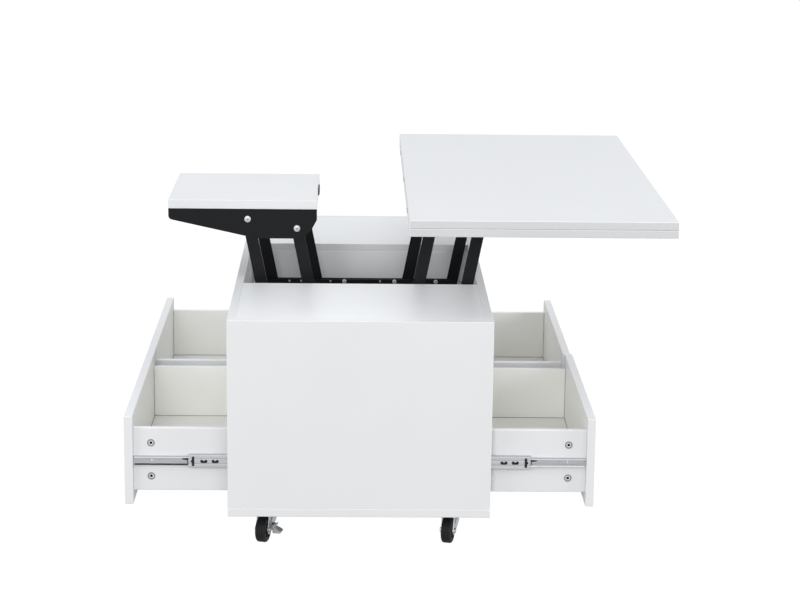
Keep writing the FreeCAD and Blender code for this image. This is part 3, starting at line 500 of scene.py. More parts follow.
def black_moulding(name, tone, rough, grain_size):
    """Moulded black plastic or rubber with an even fine grain."""
    material, tree, shader = finish(name, Specular_IOR_Level=MOULDING_SHINE)
    grain = use(tree, GRAIN, {"Grain": grain_size, "Drift Size": MOULDING_DRIFT_SIZE})
    drift = grain["Drift"]
    colour = mixed(tree, ranged(tree, drift), tinted(tone, MOULDING_DARK), tinted(tone, MOULDING_LIGHT))
    spread = MOULDING_ROUGHNESS_SPREAD
    roughness = ranged(tree, drift, rough - spread, rough + spread)
    lay_on(tree, shader, colour, roughness, bumped(tree, grain["Height"], *MOULDING_BUMP))
    return material


MELAMINE = white_melamine("white_melamine")
# Painted shade: the front and rear faces of the leaves, the support panel and the ledges are darker than
# their tops.
LEAF_MELAMINE = white_melamine("leaf_melamine", LEAF_TONE, front=LEAF_FRONT_SHADE_TONE)
PANEL_MELAMINE = white_melamine("panel_melamine", front=PANEL_FRONT_SHADE_TONE)
# Painted light: the ledges and the tops of the walls are lighter than the other faces of the same board.
LEDGE_MELAMINE = white_melamine("ledge_melamine", LEDGE_PAINTED_LIGHT_TONE, front=LEDGE_FRONT_SHADE_TONE)
WALL_MELAMINE = white_melamine("wall_melamine", WALL_TOP_PAINTED_LIGHT_TONE, upright=OUTER_TONE)
POWDER_COAT = black_powder_coat()
RAIL_ZINC = zinc("rail_zinc", tone=0.62, stretch=ALONG_X, rough=0.46)
BOLT_ZINC = zinc("bolt_zinc", tone=0.60, stretch=ALL_ROUND, rough=0.40)
# Dull zinc: the own finish of the plate rivets and rail dimples, and painted shade on the cam rims and in the
# pivot sockets.
DULL_ZINC_AND_SHADE = zinc("dull_zinc_and_shade", tone=0.34, stretch=ALL_ROUND, rough=0.40)
FACE_ZINC = zinc("face_zinc", tone=0.90, stretch=ALL_ROUND, rough=0.40)
FORK_ZINC = zinc("fork_zinc", tone=0.58, stretch=ALL_ROUND, rough=0.30)
PALE_ZINC = zinc("pale_zinc", tone=0.62, stretch=ALL_ROUND, rough=0.40, metal=0.3)
# Black for the discs in socket and recess floors: painted shade.
SOCKET_SHADE_BLACK = black_moulding("socket_shade_black", tone=0.004, rough=0.7, grain_size=0.0008)
MOULDED_BLACK = black_moulding("moulded_black", tone=0.010, rough=0.42, grain_size=0.0007)
TYRE_BLACK = black_moulding("tyre_black", tone=0.008, rough=0.62, grain_size=0.0009)


# Placing

def solid_boxes(node):
    """The boxes of a node's separate solids, as (low, high), in order along X, Y and Z."""
    shape = bmesh.new()
    shape.from_mesh(NODES[node].data)
    bmesh.ops.remove_doubles(shape, verts=shape.verts, dist=MERGE_REACH)
    unseen = set(shape.verts)
    boxes = []
    while unseen:
        front = [unseen.pop()]
        points = []
        while front:
            vertex = front.pop()
            points.append(vertex.co.copy())
            for edge in vertex.link_edges:
                other = edge.other_vert(vertex)
                if other in unseen:
                    unseen.remove(other)
                    front.append(other)
        low = Vector([min(point[axis] for point in points) for axis in range(3)])
        high = Vector([max(point[axis] for point in points) for axis in range(3)])
        boxes.append((low, high))
    shape.free()
    return sorted(boxes, key=lambda box: [round(value, SORT_DIGITS) for value in box[0]])


def middle(box):
    """The middle of a box."""
    return (box[0] + box[1]) / 2


def face(box, axis, way):
    """Where a box's face lies along an axis, on the side that the way points to."""
    return box[1][axis] if way > 0 else box[0][axis]


def sign(value):
    """The way that a value points."""
    return 1.0 if value > 0 else -1.0


def smooth(mesh):
    """Smooth shading that keeps real edges sharp."""
    mesh.shade_smooth()
    mesh.set_sharp_from_angle(angle=SHARP_EDGE)
    return mesh


def piece(name, mesh, body, replaced=()):
    """A finished mesh as a piece that rides on a body."""
    thing = bpy.data.objects.new(name, mesh)
    bpy.context.scene.collection.objects.link(thing)
    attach(thing, body)
    if replaced:
        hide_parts(*replaced)


def shaped(name, shape, body, material, replaced=()):
    """A bmesh as a piece in one material, with its faces turned outwards."""
    bmesh.ops.recalc_face_normals(shape, faces=shape.faces)
    mesh = bpy.data.meshes.new(name)
    shape.to_mesh(mesh)
    shape.free()
    mesh.materials.append(material)
    piece(name, smooth(mesh), body, replaced)


def grown(tree, places, facings, **inputs):
    """A tree run on a set of places, each with the way it faces, as a plain mesh."""
    points = bpy.data.meshes.new("places")
    points.from_pydata(places, [], [])
    facing = points.attributes.new("facing", "FLOAT_VECTOR", "POINT")
    facing.data.foreach_set("vector", [value for way in facings for value in way])
    holder = bpy.data.objects.new("holder", points)
    bpy.context.scene.collection.objects.link(holder)
    grow = holder.modifiers.new("grow", "NODES")
    grow.node_group = tree
    identifiers = {item.name: item.identifier for item in tree.interface.items_tree if item.in_out == "INPUT"}
    for label, value in inputs.items():
        grow[identifiers[label.replace("_", " ")]] = value
    seen = holder.evaluated_get(bpy.context.evaluated_depsgraph_get())
    mesh = bpy.data.meshes.new_from_object(seen)
    holder.modifiers.remove(grow)
    bpy.data.objects.remove(holder)
    return smooth(mesh)


# Geometry trees for what repeats

def lifted(tree, shape, z):
    """A shape moved along Z."""
    inputs = {"Geometry": shape, "Translation": vector_of(tree, z=z)}
    return add(tree, "GeometryNodeTransform", inputs).outputs[0]


def hung(tree, shape, depth, top):
    """A shape of the given depth, moved from about z = 0 to hang below the given height."""
    return lifted(tree, shape, sum_of(tree, "SUBTRACT", top, half_of(tree, depth)))


def drum(tree, sides, radius, depth, top):
    """A closed drum that hangs below the given height."""
    inputs = {"Vertices": sides, "Radius": radius, "Depth": depth}
    return hung(tree, add(tree, "GeometryNodeMeshCylinder", inputs).outputs["Mesh"], depth, top)


def pit(tree, sides, radius, depth, top):
    """The tool for a hole of the given depth, which reaches as far above the face where the hole opens."""
    return drum(tree, sides, radius, depth * 2, top + depth)


def crowned_head(tree, radius, height, crown):
    """A round head on z = 0 whose top falls away by the crown towards its rim."""
    inputs = {"Vertices": HEAD_SIDES, "Fill Segments": HEAD_RINGS, "Radius": radius, "Depth": height}
    body = add(tree, "GeometryNodeMeshCylinder", inputs).outputs["Mesh"]
    parts = parts_of(tree, add(tree, "GeometryNodeInputPosition").outputs[0])
    flat = vector_of(tree, parts[0], parts[1])
    reach = add(tree, "ShaderNodeVectorMath", {0: flat}, operation="LENGTH").outputs["Value"]
    share = sum_of(tree, "DIVIDE", reach, radius)
    fall = sum_of(tree, "MULTIPLY", sum_of(tree, "MULTIPLY", share, share), crown)
    fall = sum_of(tree, "MULTIPLY", fall, sum_of(tree, "GREATER_THAN", parts[2], 0.0))
    lift = sum_of(tree, "SUBTRACT", half_of(tree, height), fall)
    inputs = {"Geometry": body, "Offset": vector_of(tree, z=lift)}
    return add(tree, "GeometryNodeSetPosition", inputs).outputs[0]


def cross_bars(tree, length, width, depth, top):
    """The two bars of a cross recess, hanging below the given height."""
    bars = []
    for x, y in ((length, width), (width, length)):
        bar = add(tree, "GeometryNodeMeshCube", {"Size": vector_of(tree, x, y, depth)}).outputs["Mesh"]
        bars.append(hung(tree, bar, depth, top))
    return bars


def cut(tree, shape, tools):
    """A shape with others taken out of it."""
    inputs = {"Mesh 1": shape, "Mesh 2": tools}
    return add(tree, "GeometryNodeMeshBoolean", inputs, operation="DIFFERENCE").outputs["Mesh"]


def gathered(tree, shapes):
    """Several shapes as one."""
    return add(tree, "GeometryNodeJoinGeometry", {"Geometry": shapes}).outputs[0]


def placed(tree, places, shape, material):
    """Copies of a shape on all the places, turned to face outwards, made real and given their finish."""
    facing = add(tree, "GeometryNodeInputNamedAttribute", {"Name": "facing"}, data_type="FLOAT_VECTOR")
    turn = add(tree, "FunctionNodeAlignRotationToVector", {"Vector": facing.outputs[0]}, axis="Z").outputs[0]
    inputs = {"Points": places, "Instance": shape, "Rotation": turn}
    copies = add(tree, "GeometryNodeInstanceOnPoints", inputs).outputs[0]
    real = add(tree, "GeometryNodeRealizeInstances", {"Geometry": copies}).outputs[0]
    return add(tree, "GeometryNodeSetMaterial", {"Geometry": real, "Material": material}).outputs[0]


def placing_tree(name, sizes, finishes):
    """A tree that takes places, sizes and finishes, and puts out the pieces on those places."""
    inputs = [("Places", "Geometry")]
    inputs += [(size, "Float") for size in sizes]
    inputs += [(surface, "Material") for surface in finishes]
    return new_tree(name, "GeometryNodeTree", inputs, [("Pieces", "Geometry")])


def rivet_tree():
    """Plain crowned heads."""
    tree, given, out = placing_tree("rivet_heads", ("Radius", "Height", "Crown"), ("Finish",))
    head = crowned_head(tree, given["Radius"], given["Height"], given["Crown"])
    tree.links.new(placed(tree, given["Places"], head, given["Finish"]), out["Pieces"])
    return tree


def screw_tree():
    """Screw heads with a cross recess, and a black cross in its floor as painted shade."""
    sizes = ("Radius", "Height", "Crown", "Recess", "Recess Width")
    tree, given, out = placing_tree("screw_heads", sizes, ("Finish", "Socket Finish"))
    recess = (given["Recess"], given["Recess Width"])
    sunk = sum_of(tree, "ADD", given["Height"], RECESS_DEPTH)
    head = crowned_head(tree, given["Radius"], sunk, given["Crown"])
    head = cut(tree, head, cross_bars(tree, *recess, RECESS_DEPTH, sunk))
    shade_top = sum_of(tree, "SUBTRACT", given["Height"], RECESS_SHADE_DROP)
    floor = gathered(tree, cross_bars(tree, *recess, RECESS_SHADE_THICK, shade_top))
    heads = placed(tree, given["Places"], lifted(tree, head, -RECESS_DEPTH), given["Finish"])
    shade_floors = placed(tree, given["Places"], floor, given["Socket Finish"])
    tree.links.new(gathered(tree, [heads, shade_floors]), out["Pieces"])
    return tree


def pivot_tree():
    """Pivot bolts: a crowned head with a hex socket, a shank and a hex nut, and a darker disc in the socket
    as painted shade.
    """
    sizes = ("Radius", "Grip", "Nut Height")
    tree, given, out = placing_tree("pivot_bolts", sizes, ("Finish", "Socket Finish"))
    head = crowned_head(tree, given["Radius"], PIVOT_HEAD, PIVOT_CROWN)
    head = cut(tree, head, [pit(tree, HEX_SIDES, PIVOT_SOCKET, PIVOT_SOCKET_DEPTH, PIVOT_HEAD)])
    shank = drum(tree, HEAD_SIDES, PIVOT_SHANK, given["Grip"], 0.0)
    low = sum_of(tree, "MULTIPLY", given["Grip"], -1.0)
    nut = drum(tree, HEX_SIDES, given["Radius"], given["Nut Height"], low)
    shade_top = PIVOT_HEAD - PIVOT_SHADE_DROP
    floor = drum(tree, HEX_SIDES, PIVOT_SOCKET * SHADE_DISC_FIT, PIVOT_SHADE_THICK, shade_top)
    bolts = placed(tree, given["Places"], gathered(tree, [head, shank, nut]), given["Finish"])
    shade_floors = placed(tree, given["Places"], floor, given["Socket Finish"])
    tree.links.new(gathered(tree, [bolts, shade_floors]), out["Pieces"])
    return tree


def cam_tree():
    """Cam fittings: a rim in darker zinc, the painted shadow of the gap round the fitting, round a bright
    sunk face with a cross, and a black disc in the centre as painted shade.
    """
    finishes = ("Rim Finish", "Face Finish", "Socket Finish")
    tree, given, out = placing_tree("cam_fittings", ("Radius", "Depth"), finishes)
    plate_radius = sum_of(tree, "MULTIPLY", given["Radius"], CAM_FACE_SHARE)
    rim = drum(tree, HEAD_SIDES, given["Radius"], given["Depth"], 0.0)
    rim = cut(tree, rim, [pit(tree, HEAD_SIDES, plate_radius, CAM_CENTRE_DEPTH, 0.0)])
    plate = drum(tree, HEAD_SIDES, plate_radius, CAM_CENTRE_DEPTH - CAM_FACE_DEPTH, -CAM_FACE_DEPTH)
    # The tools reach above the plate, and the one for the centre goes right through it.
    length, width, depth = CAM_CROSS
    tools = cross_bars(tree, length, width, depth * 2, depth - CAM_FACE_DEPTH)
    tools.append(drum(tree, HEAD_SIDES, CAM_CENTRE, CAM_CENTRE_DEPTH * 3, CAM_CENTRE_DEPTH))
    plate = cut(tree, plate, tools)
    floor = drum(tree, HEAD_SIDES, CAM_CENTRE * SHADE_DISC_FIT, CAM_SHADE_THICK, -CAM_SHADE_DROP)
    parts = []
    for shape, surface in zip((rim, plate, floor), finishes):
        parts.append(placed(tree, given["Places"], shape, given[surface]))
    tree.links.new(gathered(tree, parts), out["Pieces"])
    return tree


def window_tree():
    """Flat plugs with round ends, long along X: the ball cage seen through a slide's windows."""
    tree, given, out = placing_tree("slide_windows", ("Length", "Width", "Stand"), ("Finish",))
    inputs = {"Width": given["Length"], "Height": given["Width"]}
    outline = add(tree, "GeometryNodeCurvePrimitiveQuadrilateral", inputs).outputs[0]
    inputs = {"Curve": outline, "Count": WINDOW_CORNER_STEPS, "Limit Radius": True,
              "Radius": half_of(tree, given["Width"])}
    rounded = add(tree, "GeometryNodeFilletCurve", inputs, mode="POLY").outputs[0]
    flat = add(tree, "GeometryNodeFillCurve", {"Curve": rounded}, mode="NGONS").outputs[0]
    inputs = {"Mesh": flat, "Offset Scale": given["Stand"]}
    plug = add(tree, "GeometryNodeExtrudeMesh", inputs).outputs["Mesh"]
    back = add(tree, "GeometryNodeFlipFaces", {"Mesh": flat}).outputs[0]
    plug = gathered(tree, [plug, back])
    tree.links.new(placed(tree, given["Places"], plug, given["Finish"]), out["Pieces"])
    return tree


RIVETS = rivet_tree()
SCREWS = screw_tree()
PIVOTS = pivot_tree()
CAMS = cam_tree()
WINDOWS = window_tree()


def screws(name, sizes, places, facings, body, material=BOLT_ZINC):
    """A set of screws on one body."""
    inputs = {label.replace(" ", "_"): value for label, value in sizes.items()}
    mesh = grown(SCREWS, places, facings, Finish=material, Socket_Finish=SOCKET_SHADE_BLACK, **inputs)
    piece(name, mesh, body)


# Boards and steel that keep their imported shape

def outward_of(drawer):
    """The way along X in which a drawer opens."""
    return -1.0 if drawer.startswith("left") else 1.0


def lining_box(drawer):
    """The space inside a drawer, let into its faces by a hair and open upwards, and its rim."""
    low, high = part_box(drawer + "_drawer_box")
    inner_low = Vector((low.x, low.y + BOX_WALL, low.z + BOX_BOTTOM_TOP))
    inner_high = Vector((high.x, high.y - BOX_WALL, high.z + BOX_HEADROOM))
    if outward_of(drawer) > 0:
        inner_low.x += BOX_WALL
    else:
        inner_high.x -= BOX_WALL
    reach = Vector((LINING_REACH, LINING_REACH, LINING_REACH))
    return inner_low - reach, inner_high + reach, high.z - RIM_BAND


def dress_nodes():
    """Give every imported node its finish."""
    own = {
        "lower_leaf": LEAF_MELAMINE,
        "upper_leaf": LEAF_MELAMINE,
        "support_panel": PANEL_MELAMINE,
        "front_ledge": LEDGE_MELAMINE,
        "rear_ledge": LEDGE_MELAMINE,
        "front_panel": WALL_MELAMINE,
        "rear_panel": WALL_MELAMINE,
        "left_side_wall": WALL_MELAMINE,
        "right_side_wall": WALL_MELAMINE,
    }
    for drawer in DRAWERS:
        box = lining_box(drawer)
        # Painted highlight: the tops of the drawer boxes and fronts are lighter than their upright faces.
        for part, rim in (("_drawer_box", BOX_RIM_HIGHLIGHT_TONE), ("_drawer_front", FRONT_RIM_HIGHLIGHT_TONE)):
            node = drawer + part
            own[node] = white_melamine(node + "_melamine", rim, upright=OUTER_TONE, box=box)
    by_slot = {
        "white_board": MELAMINE,
        "black_steel": POWDER_COAT,
        "zinc_steel": FORK_ZINC,
        "black_rubber": TYRE_BLACK,
        "black_plastic": MOULDED_BLACK,
    }
    for name, node in NODES.items():
        slot = node.data.materials[0].name.split(".")[0]
        node.data.materials[0] = own.get(name, by_slot[slot])


# Lifts

def make_pivot_bolts(node, name, body):
    """Bolts in place of a lift's plain ones, with their heads towards the outside."""
    boxes = solid_boxes(node)
    size = boxes[0][1] - boxes[0][0]
    places = []
    facings = []
    for box in boxes:
        centre = middle(box)
        way = sign(centre.y)
        places.append((centre.x, face(box, Y, way) - way * PIVOT_HEAD, centre.z))
        facings.append((0, way, 0))
    grip = size.y - 2 * PIVOT_HEAD
    mesh = grown(PIVOTS, places, facings, Radius=size.x / 2, Grip=grip, Nut_Height=PIVOT_HEAD,
                 Finish=BOLT_ZINC, Socket_Finish=DULL_ZINC_AND_SHADE)
    piece(name, mesh, body, replaced=(node,))


def along_length(low, high, shares):
    """Places along X, at shares of the length between two corners."""
    return [low.x + share * (high.x - low.x) for share in shares]


def at_both_ends(row, across, z):
    """A row of places along X, in front of the lift's middle and behind it."""
    return [(x, end * across, z) for end in BOTH_ENDS for x in row]


def towards_middle(places):
    """The ways from a set of places to the lift's middle."""
    return [(0, -sign(place[Y]), 0) for place in places]


def make_lift_screws():
    """The screws in the brackets' flanges, and the fixings of the base plates."""
    for node, name, body, across in (
        ("panel_brackets", "panel_flange_screws", "support_panel", PANEL_FLANGE_MIDDLE),
        ("top_brackets", "top_flange_screws", "folding_top", TOP_FLANGE_MIDDLE),
    ):
        low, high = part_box(node)
        row = along_length(low, high, FLANGE_SCREW_SHARES)
        places = at_both_ends(row, across, high.z - FLANGE_STEEL)
        screws(name, PAN_SCREW, places, [-UP] * len(places), body)
    low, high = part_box("lift_inner_plates")
    bolts = at_both_ends(PLATE_BOLT_PLACES, INNER_PLATE_FACE, high.z - PLATE_BOLT_DROP)
    screws("base_plate_bolts", PLATE_BOLT, bolts, towards_middle(bolts), "cabinet", PALE_ZINC)
    rivets = at_both_ends(PLATE_RIVET_PLACES, INNER_PLATE_FACE, high.z - PLATE_BOLT_DROP)
    mesh = grown(RIVETS, rivets, towards_middle(rivets), Finish=DULL_ZINC_AND_SHADE, **PLATE_RIVET)
    piece("base_plate_rivets", mesh, "cabinet")
    row = along_length(low, high, FOOT_SCREW_SHARES)
    places = at_both_ends(row, FOOT_MIDDLE, low.z + FLANGE_STEEL)
    screws("base_foot_screws", PAN_SCREW, places, [UP] * len(places), "cabinet")


def make_hinge_screws():
    """Countersunk screws in both halves of each hinge."""
    axis_x, _, axis_z = JOINTS["leaf_fold"]["pos_m"]
    for node, name, body, up in (
        ("lower_hinge_plates", "lower_hinge_screws", "folding_top", 1),
        ("upper_hinge_plates", "upper_hinge_screws", "upper_leaf", -1),
    ):
        places = []
        for low, high in solid_boxes(node):
            for share in HINGE_SCREW_SHARES:
                y = low.y + share * (high.y - low.y)
                places.append((axis_x + HINGE_SCREW_IN, y, axis_z - up * HINGE_FACE_DROP))
        screws(name, FLAT_SCREW, places, [UP * up] * len(places), body)


# Drawers

DRAWER_MIDDLE = abs(middle(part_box("left_front_drawer_box")).y)


def inward(box):
    """The way along Y from a slide member or a fitting to the middle of its drawer."""
    y = middle(box).y
    return sign(math.copysign(DRAWER_MIDDLE, y) - y)


def bent(points, radius):
    """A line of (depth, height) points with its corners rounded."""
    line = [Vector(points[0])]
    for before, corner, after in zip(points, points[1:], points[2:]):
        here = Vector(corner)
        back = (Vector(before) - here).normalized()
        onward = (Vector(after) - here).normalized()
        half = back.angle(onward) / 2
        centre = here + (back + onward).normalized() * (radius / math.sin(half))
        start = here + back * (radius / math.tan(half))
        end = here + onward * (radius / math.tan(half))
        for step in range(BEND_STEPS + 1):
            spoke = start.lerp(end, step / BEND_STEPS) - centre
            line.append(centre + spoke.normalized() * radius)
    line.append(Vector(points[-1]))
    return line


def rolled_section(depth, height, grooved):
    """The middle line of a slide member's sheet: a C with curled lips and, in some, grooves in its web."""
    skin = RAIL_STEEL / 2
    tip = depth - skin
    top = height / 2 - skin
    half = [(tip, top - LIP_CURL), (tip, top), (skin, top)]
    if grooved:
        for across, up in GROOVE_STEPS:
            half.append((skin + across * GROOVE_DEPTH, GROOVE_HEIGHT + up * GROOVE_HALF))
    return half + [(across, -up) for across, up in reversed(half)]


def rolled_rail(shape, box, towards, grooved):
    """One slide member in its box, with its web on the side that lies away from where it opens."""
    low, high = box
    web = face(box, Y, -towards)
    centre_z = middle(box).z
    radius = GROOVE_BEND if grooved else RAIL_BEND
    line = bent(rolled_section(high.y - low.y, high.z - low.z, grooved), radius)
    rows = []
    for index, point in enumerate(line):
        before = line[max(index - 1, 0)]
        after = line[min(index + 1, len(line) - 1)]
        along = (after - before).normalized()
        normal = Vector((-along.y, along.x)) * (RAIL_STEEL / 2)
        row = []
        for x in (low.x, high.x):
            for edge in (point + normal, point - normal):
                row.append(shape.verts.new((x, web + towards * edge.x, centre_z + edge.y)))
        rows.append(row)
    for first, second in zip(rows, rows[1:]):
        for a, b in ((0, 1), (1, 3), (3, 2), (2, 0)):
            shape.faces.new((first[a], first[b], second[b], second[a]))
    for row in (rows[0], rows[-1]):
        shape.faces.new((row[0], row[1], row[3], row[2]))


def make_rails(node, name, body, opens_inward, grooved):
    """A node's slide members as rolled sections."""
    shape = bmesh.new()
    for box in solid_boxes(node):
        rolled_rail(shape, box, inward(box) if opens_inward else -inward(box), grooved)
    shaped(name, shape, body, RAIL_ZINC, replaced=(node,))


def prism(shape, outline, y, depth):
    """A flat outline of (x, z) points, drawn out from y by the depth."""
    near = [shape.verts.new((x, y, z)) for x, z in outline]
    far = [shape.verts.new((x, y + depth, z)) for x, z in outline]
    shape.faces.new(near)
    shape.faces.new(list(reversed(far)))
    for index in range(len(near)):
        following = (index + 1) % len(near)
        shape.faces.new((near[index], far[index], far[following], near[following]))


def rectangle(x, z, width, height):
    """A rectangle's corners about a centre."""
    return [(x + a * width / 2, z + b * height / 2) for a, b in ((-1, -1), (1, -1), (1, 1), (-1, 1))]


def make_middle_fittings(drawer):
    """The black stops of one drawer's two middle members, and the ball cages in their windows."""
    outward = outward_of(drawer)
    stops = bmesh.new()
    windows = []
    tabs = []
    facings = []
    for box in solid_boxes(drawer + "_slide_middles"):
        towards = inward(box)
        web = face(box, Y, -towards)
        end_x = face(box, X, outward)
        z = middle(box).z
        stop_x = end_x - outward * STOP_SETBACK
        nub_x = stop_x + outward * (STOP_SIZE[0] + STOP_NUB[0]) / 2
        for x, (width, depth, height) in ((stop_x, STOP_SIZE), (nub_x, STOP_NUB)):
            prism(stops, rectangle(x, z, width, height), web, -towards * depth)
        for setback in WINDOW_SETBACKS:
            place = Vector((end_x - outward * setback, web, z))
            windows.append(place)
            tabs.append(place + UP * CAGE_TAB_LIFT)
            facings.append((0, -towards, 0))
    body = drawer + "_slide"
    shaped(drawer + "_slide_stops", stops, body, MOULDED_BLACK)
    mesh = grown(WINDOWS, windows, facings, Finish=MOULDED_BLACK, **WINDOW)
    piece(drawer + "_slide_windows", mesh, body)
    mesh = grown(WINDOWS, tabs, facings, Finish=RAIL_ZINC, **CAGE_TAB)
    piece(drawer + "_cage_tabs", mesh, body)


def lever_outline(end_x, z, outward):
    """A release lever's outline: a foot at the end of the middle member, and a finger that tapers from it."""
    top = z + LEVER_TOP
    tip_x = end_x + outward * LEVER_OUT
    bar_x = end_x + outward * LEVER_BAR
    return [
        (end_x, top),
        (tip_x, top - LEVER_TIP_DROP),
        (tip_x, top - LEVER_TIP_DROP - LEVER_TIP),
        (bar_x, top - LEVER_ROOT),
        (bar_x, z - LEVER_FOOT),
        (end_x, z - LEVER_FOOT),
    ]


def make_levers_and_lip_strips(drawer):
    """The release levers of one drawer's two rails, and a thin strip along each rail's lower lip.

    The strips are painted shade in black on the left drawers, and a painted highlight in bright zinc on the
    right ones.
    """
    outward = outward_of(drawer)
    end_x = face(solid_boxes(drawer + "_slide_middles")[0], X, outward)
    strip_start = end_x + outward * PAINTED_STRIP_GAP
    levers = bmesh.new()
    painted_strips = bmesh.new()
    for box in solid_boxes(drawer + "_drawer_runners"):
        towards = inward(box)
        web = face(box, Y, towards) - towards * RAIL_STEEL
        prism(levers, lever_outline(end_x, middle(box).z, outward), web, -towards * LEVER_THICK)
        strip_end = face(box, X, outward) - outward * PAINTED_STRIP_INSET
        strip_z = box[0].z + PAINTED_STRIP_HEIGHT / 2
        strip = rectangle((strip_end + strip_start) / 2, strip_z, abs(strip_end - strip_start), PAINTED_STRIP_HEIGHT)
        prism(painted_strips, strip, face(box, Y, -towards), -towards * PAINTED_STRIP_THICK)
    body = drawer + "_drawer"
    shaped(drawer + "_slide_levers", levers, body, MOULDED_BLACK)
    # Black strips paint the shade under the lip on the left drawers, and bright zinc strips paint its
    # highlight on the right ones.
    slot, surface = ("black_plastic", MOULDED_BLACK) if outward < 0 else ("zinc_steel", FACE_ZINC)
    shaped(drawer + "_painted_lip_strips", painted_strips, body, surface)


def make_rail_marks(drawer):
    """The screws, slots and dimples in the webs of one drawer's two rails."""
    outward = outward_of(drawer)
    rows = {setback: [] for setback in RAIL_SCREW_SETBACKS + (RAIL_SLOT_SETBACK, RAIL_DIMPLE_SETBACK)}
    facings = []
    for box in solid_boxes(drawer + "_drawer_runners"):
        towards = inward(box)
        web = face(box, Y, towards) - towards * RAIL_STEEL
        for setback, places in rows.items():
            places.append((face(box, X, outward) - outward * setback, web, middle(box).z))
        facings.append((0, -towards, 0))
    body = drawer + "_drawer"
    places = [place for setback in RAIL_SCREW_SETBACKS for place in rows[setback]]
    screws(drawer + "_rail_screws", FLAT_SCREW, places, facings * len(RAIL_SCREW_SETBACKS), body)
    mesh = grown(WINDOWS, rows[RAIL_SLOT_SETBACK], facings, Finish=MELAMINE, **RAIL_SLOT)
    piece(drawer + "_rail_slots", mesh, body)
    mesh = grown(RIVETS, rows[RAIL_DIMPLE_SETBACK], facings, Finish=DULL_ZINC_AND_SHADE, **RAIL_DIMPLE)
    piece(drawer + "_rail_dimples", mesh, body)


def make_cams(drawer):
    """Cam fittings in place of a drawer's plain ones, facing out of its sides."""
    node = drawer + "_drawer_cams"
    boxes = solid_boxes(node)
    size = boxes[0][1] - boxes[0][0]
    places = []
    facings = []
    for box in boxes:
        centre = middle(box)
        way = -inward(box)
        places.append((centre.x, face(box, Y, way), centre.z))
        facings.append((0, way, 0))
    # The cam rims take the darker zinc as the painted shadow of the gap round each fitting.
    mesh = grown(CAMS, places, facings, Radius=size.x / 2, Depth=size.y, Rim_Finish=DULL_ZINC_AND_SHADE,
                 Face_Finish=FACE_ZINC, Socket_Finish=SOCKET_SHADE_BLACK)
    piece(drawer + "_cams", mesh, drawer + "_drawer", replaced=(node,))


def make_drawers():
    """The metal and plastic of all four drawers, and the rails in the cabinet."""
    for drawer in DRAWERS:
        make_cams(drawer)
        make_rails(drawer + "_drawer_runners", drawer + "_drawer_rails", drawer + "_drawer",
                   opens_inward=False, grooved=False)
        make_rails(drawer + "_slide_middles", drawer + "_middle_rails", drawer + "_slide",
                   opens_inward=True, grooved=True)
        make_middle_fittings(drawer)
        make_levers_and_lip_strips(drawer)
        make_rail_marks(drawer)
    make_rails("cabinet_runners", "cabinet_rails", "cabinet", opens_inward=True, grooved=False)


# Casters

def axle_of(caster):
    """A wheel's centre and the direction of its axle."""
    roll = JOINTS[caster + "_roll"]
    return Vector(roll["pos_m"]), Vector(roll["axis"]).normalized()


def spoke_of(axle, step, steps):
    """The direction of one of a number of even steps round an axle."""
    angle = 2 * math.pi * step / steps
    return UP * math.cos(angle) + axle.cross(UP) * math.sin(angle)


def turned_ring(shape, profile, centre, axle):
    """A closed profile of (along the axle, radius) points turned about the axle."""
    rings = []
    for step in range(WHEEL_STEPS):
        spoke = spoke_of(axle, step, WHEEL_STEPS)
        rings.append([shape.verts.new(centre + axle * along + spoke * radius) for along, radius in profile])
    for first, second in zip(rings, rings[1:] + rings[:1]):
        for index in range(len(profile)):
            following = (index + 1) % len(profile)
            shape.faces.new((first[index], first[following], second[following], second[index]))


def mirrored(half):
    """Half of a profile in the order that closes it on the wheel's other flank."""
    return [(-along, radius) for along, radius in reversed(half)]


def tyre_profile(radius):
    """A tyre's section: round shoulders and three fine grooves."""
    shoulder = [(-TYRE_HALF, TYRE_INNER)]
    corner = radius - TYRE_EDGE
    for step in range(SHOULDER_STEPS + 1):
        turn = math.pi / 2 * step / SHOULDER_STEPS
        along = -TYRE_HALF + TYRE_EDGE * (1 - math.cos(turn))
        shoulder.append((along, corner + TYRE_EDGE * math.sin(turn)))
    tread = []
    for groove in TYRE_GROOVES:
        tread.append((groove - TYRE_GROOVE_HALF, radius))
        tread.append((groove, radius - TYRE_GROOVE_DEPTH))
        tread.append((groove + TYRE_GROOVE_HALF, radius))
    return shoulder + tread + mirrored(shoulder)


def hub_profile():
    """A hub's section: a boss round the bore, a thin web and a rim under the tyre."""
    rim_face = TYRE_HALF - RIM_STEP
    half = [
        (HUB_HALF, BORE),
        (HUB_HALF, HUB_RADIUS),
        (WEB_HALF, HUB_RADIUS + HUB_DRAFT),
        (WEB_HALF, RIM_INNER),
        (rim_face, RIM_INNER + HUB_DRAFT / 2),
        (rim_face, TYRE_INNER),
    ]
    return half + mirrored(half)


def add_spokes(hub, centre, axle):
    """The ribs on both flanks of a hub's web."""
    for index in range(SPOKES):
        spoke = spoke_of(axle, index, SPOKES)
        across = axle.cross(spoke)
        for end in BOTH_ENDS:
            corners = []
            for out in SPOKE_ENDS:
                for aside in (-SPOKE_THICK / 2, SPOKE_THICK / 2):
                    for along in SPOKE_FACES:
                        place = centre + spoke * out + across * aside + axle * (end * along)
                        corners.append(hub.verts.new(place))
            for corner_set in BOX_FACES:
                hub.faces.new([corners[corner] for corner in corner_set])


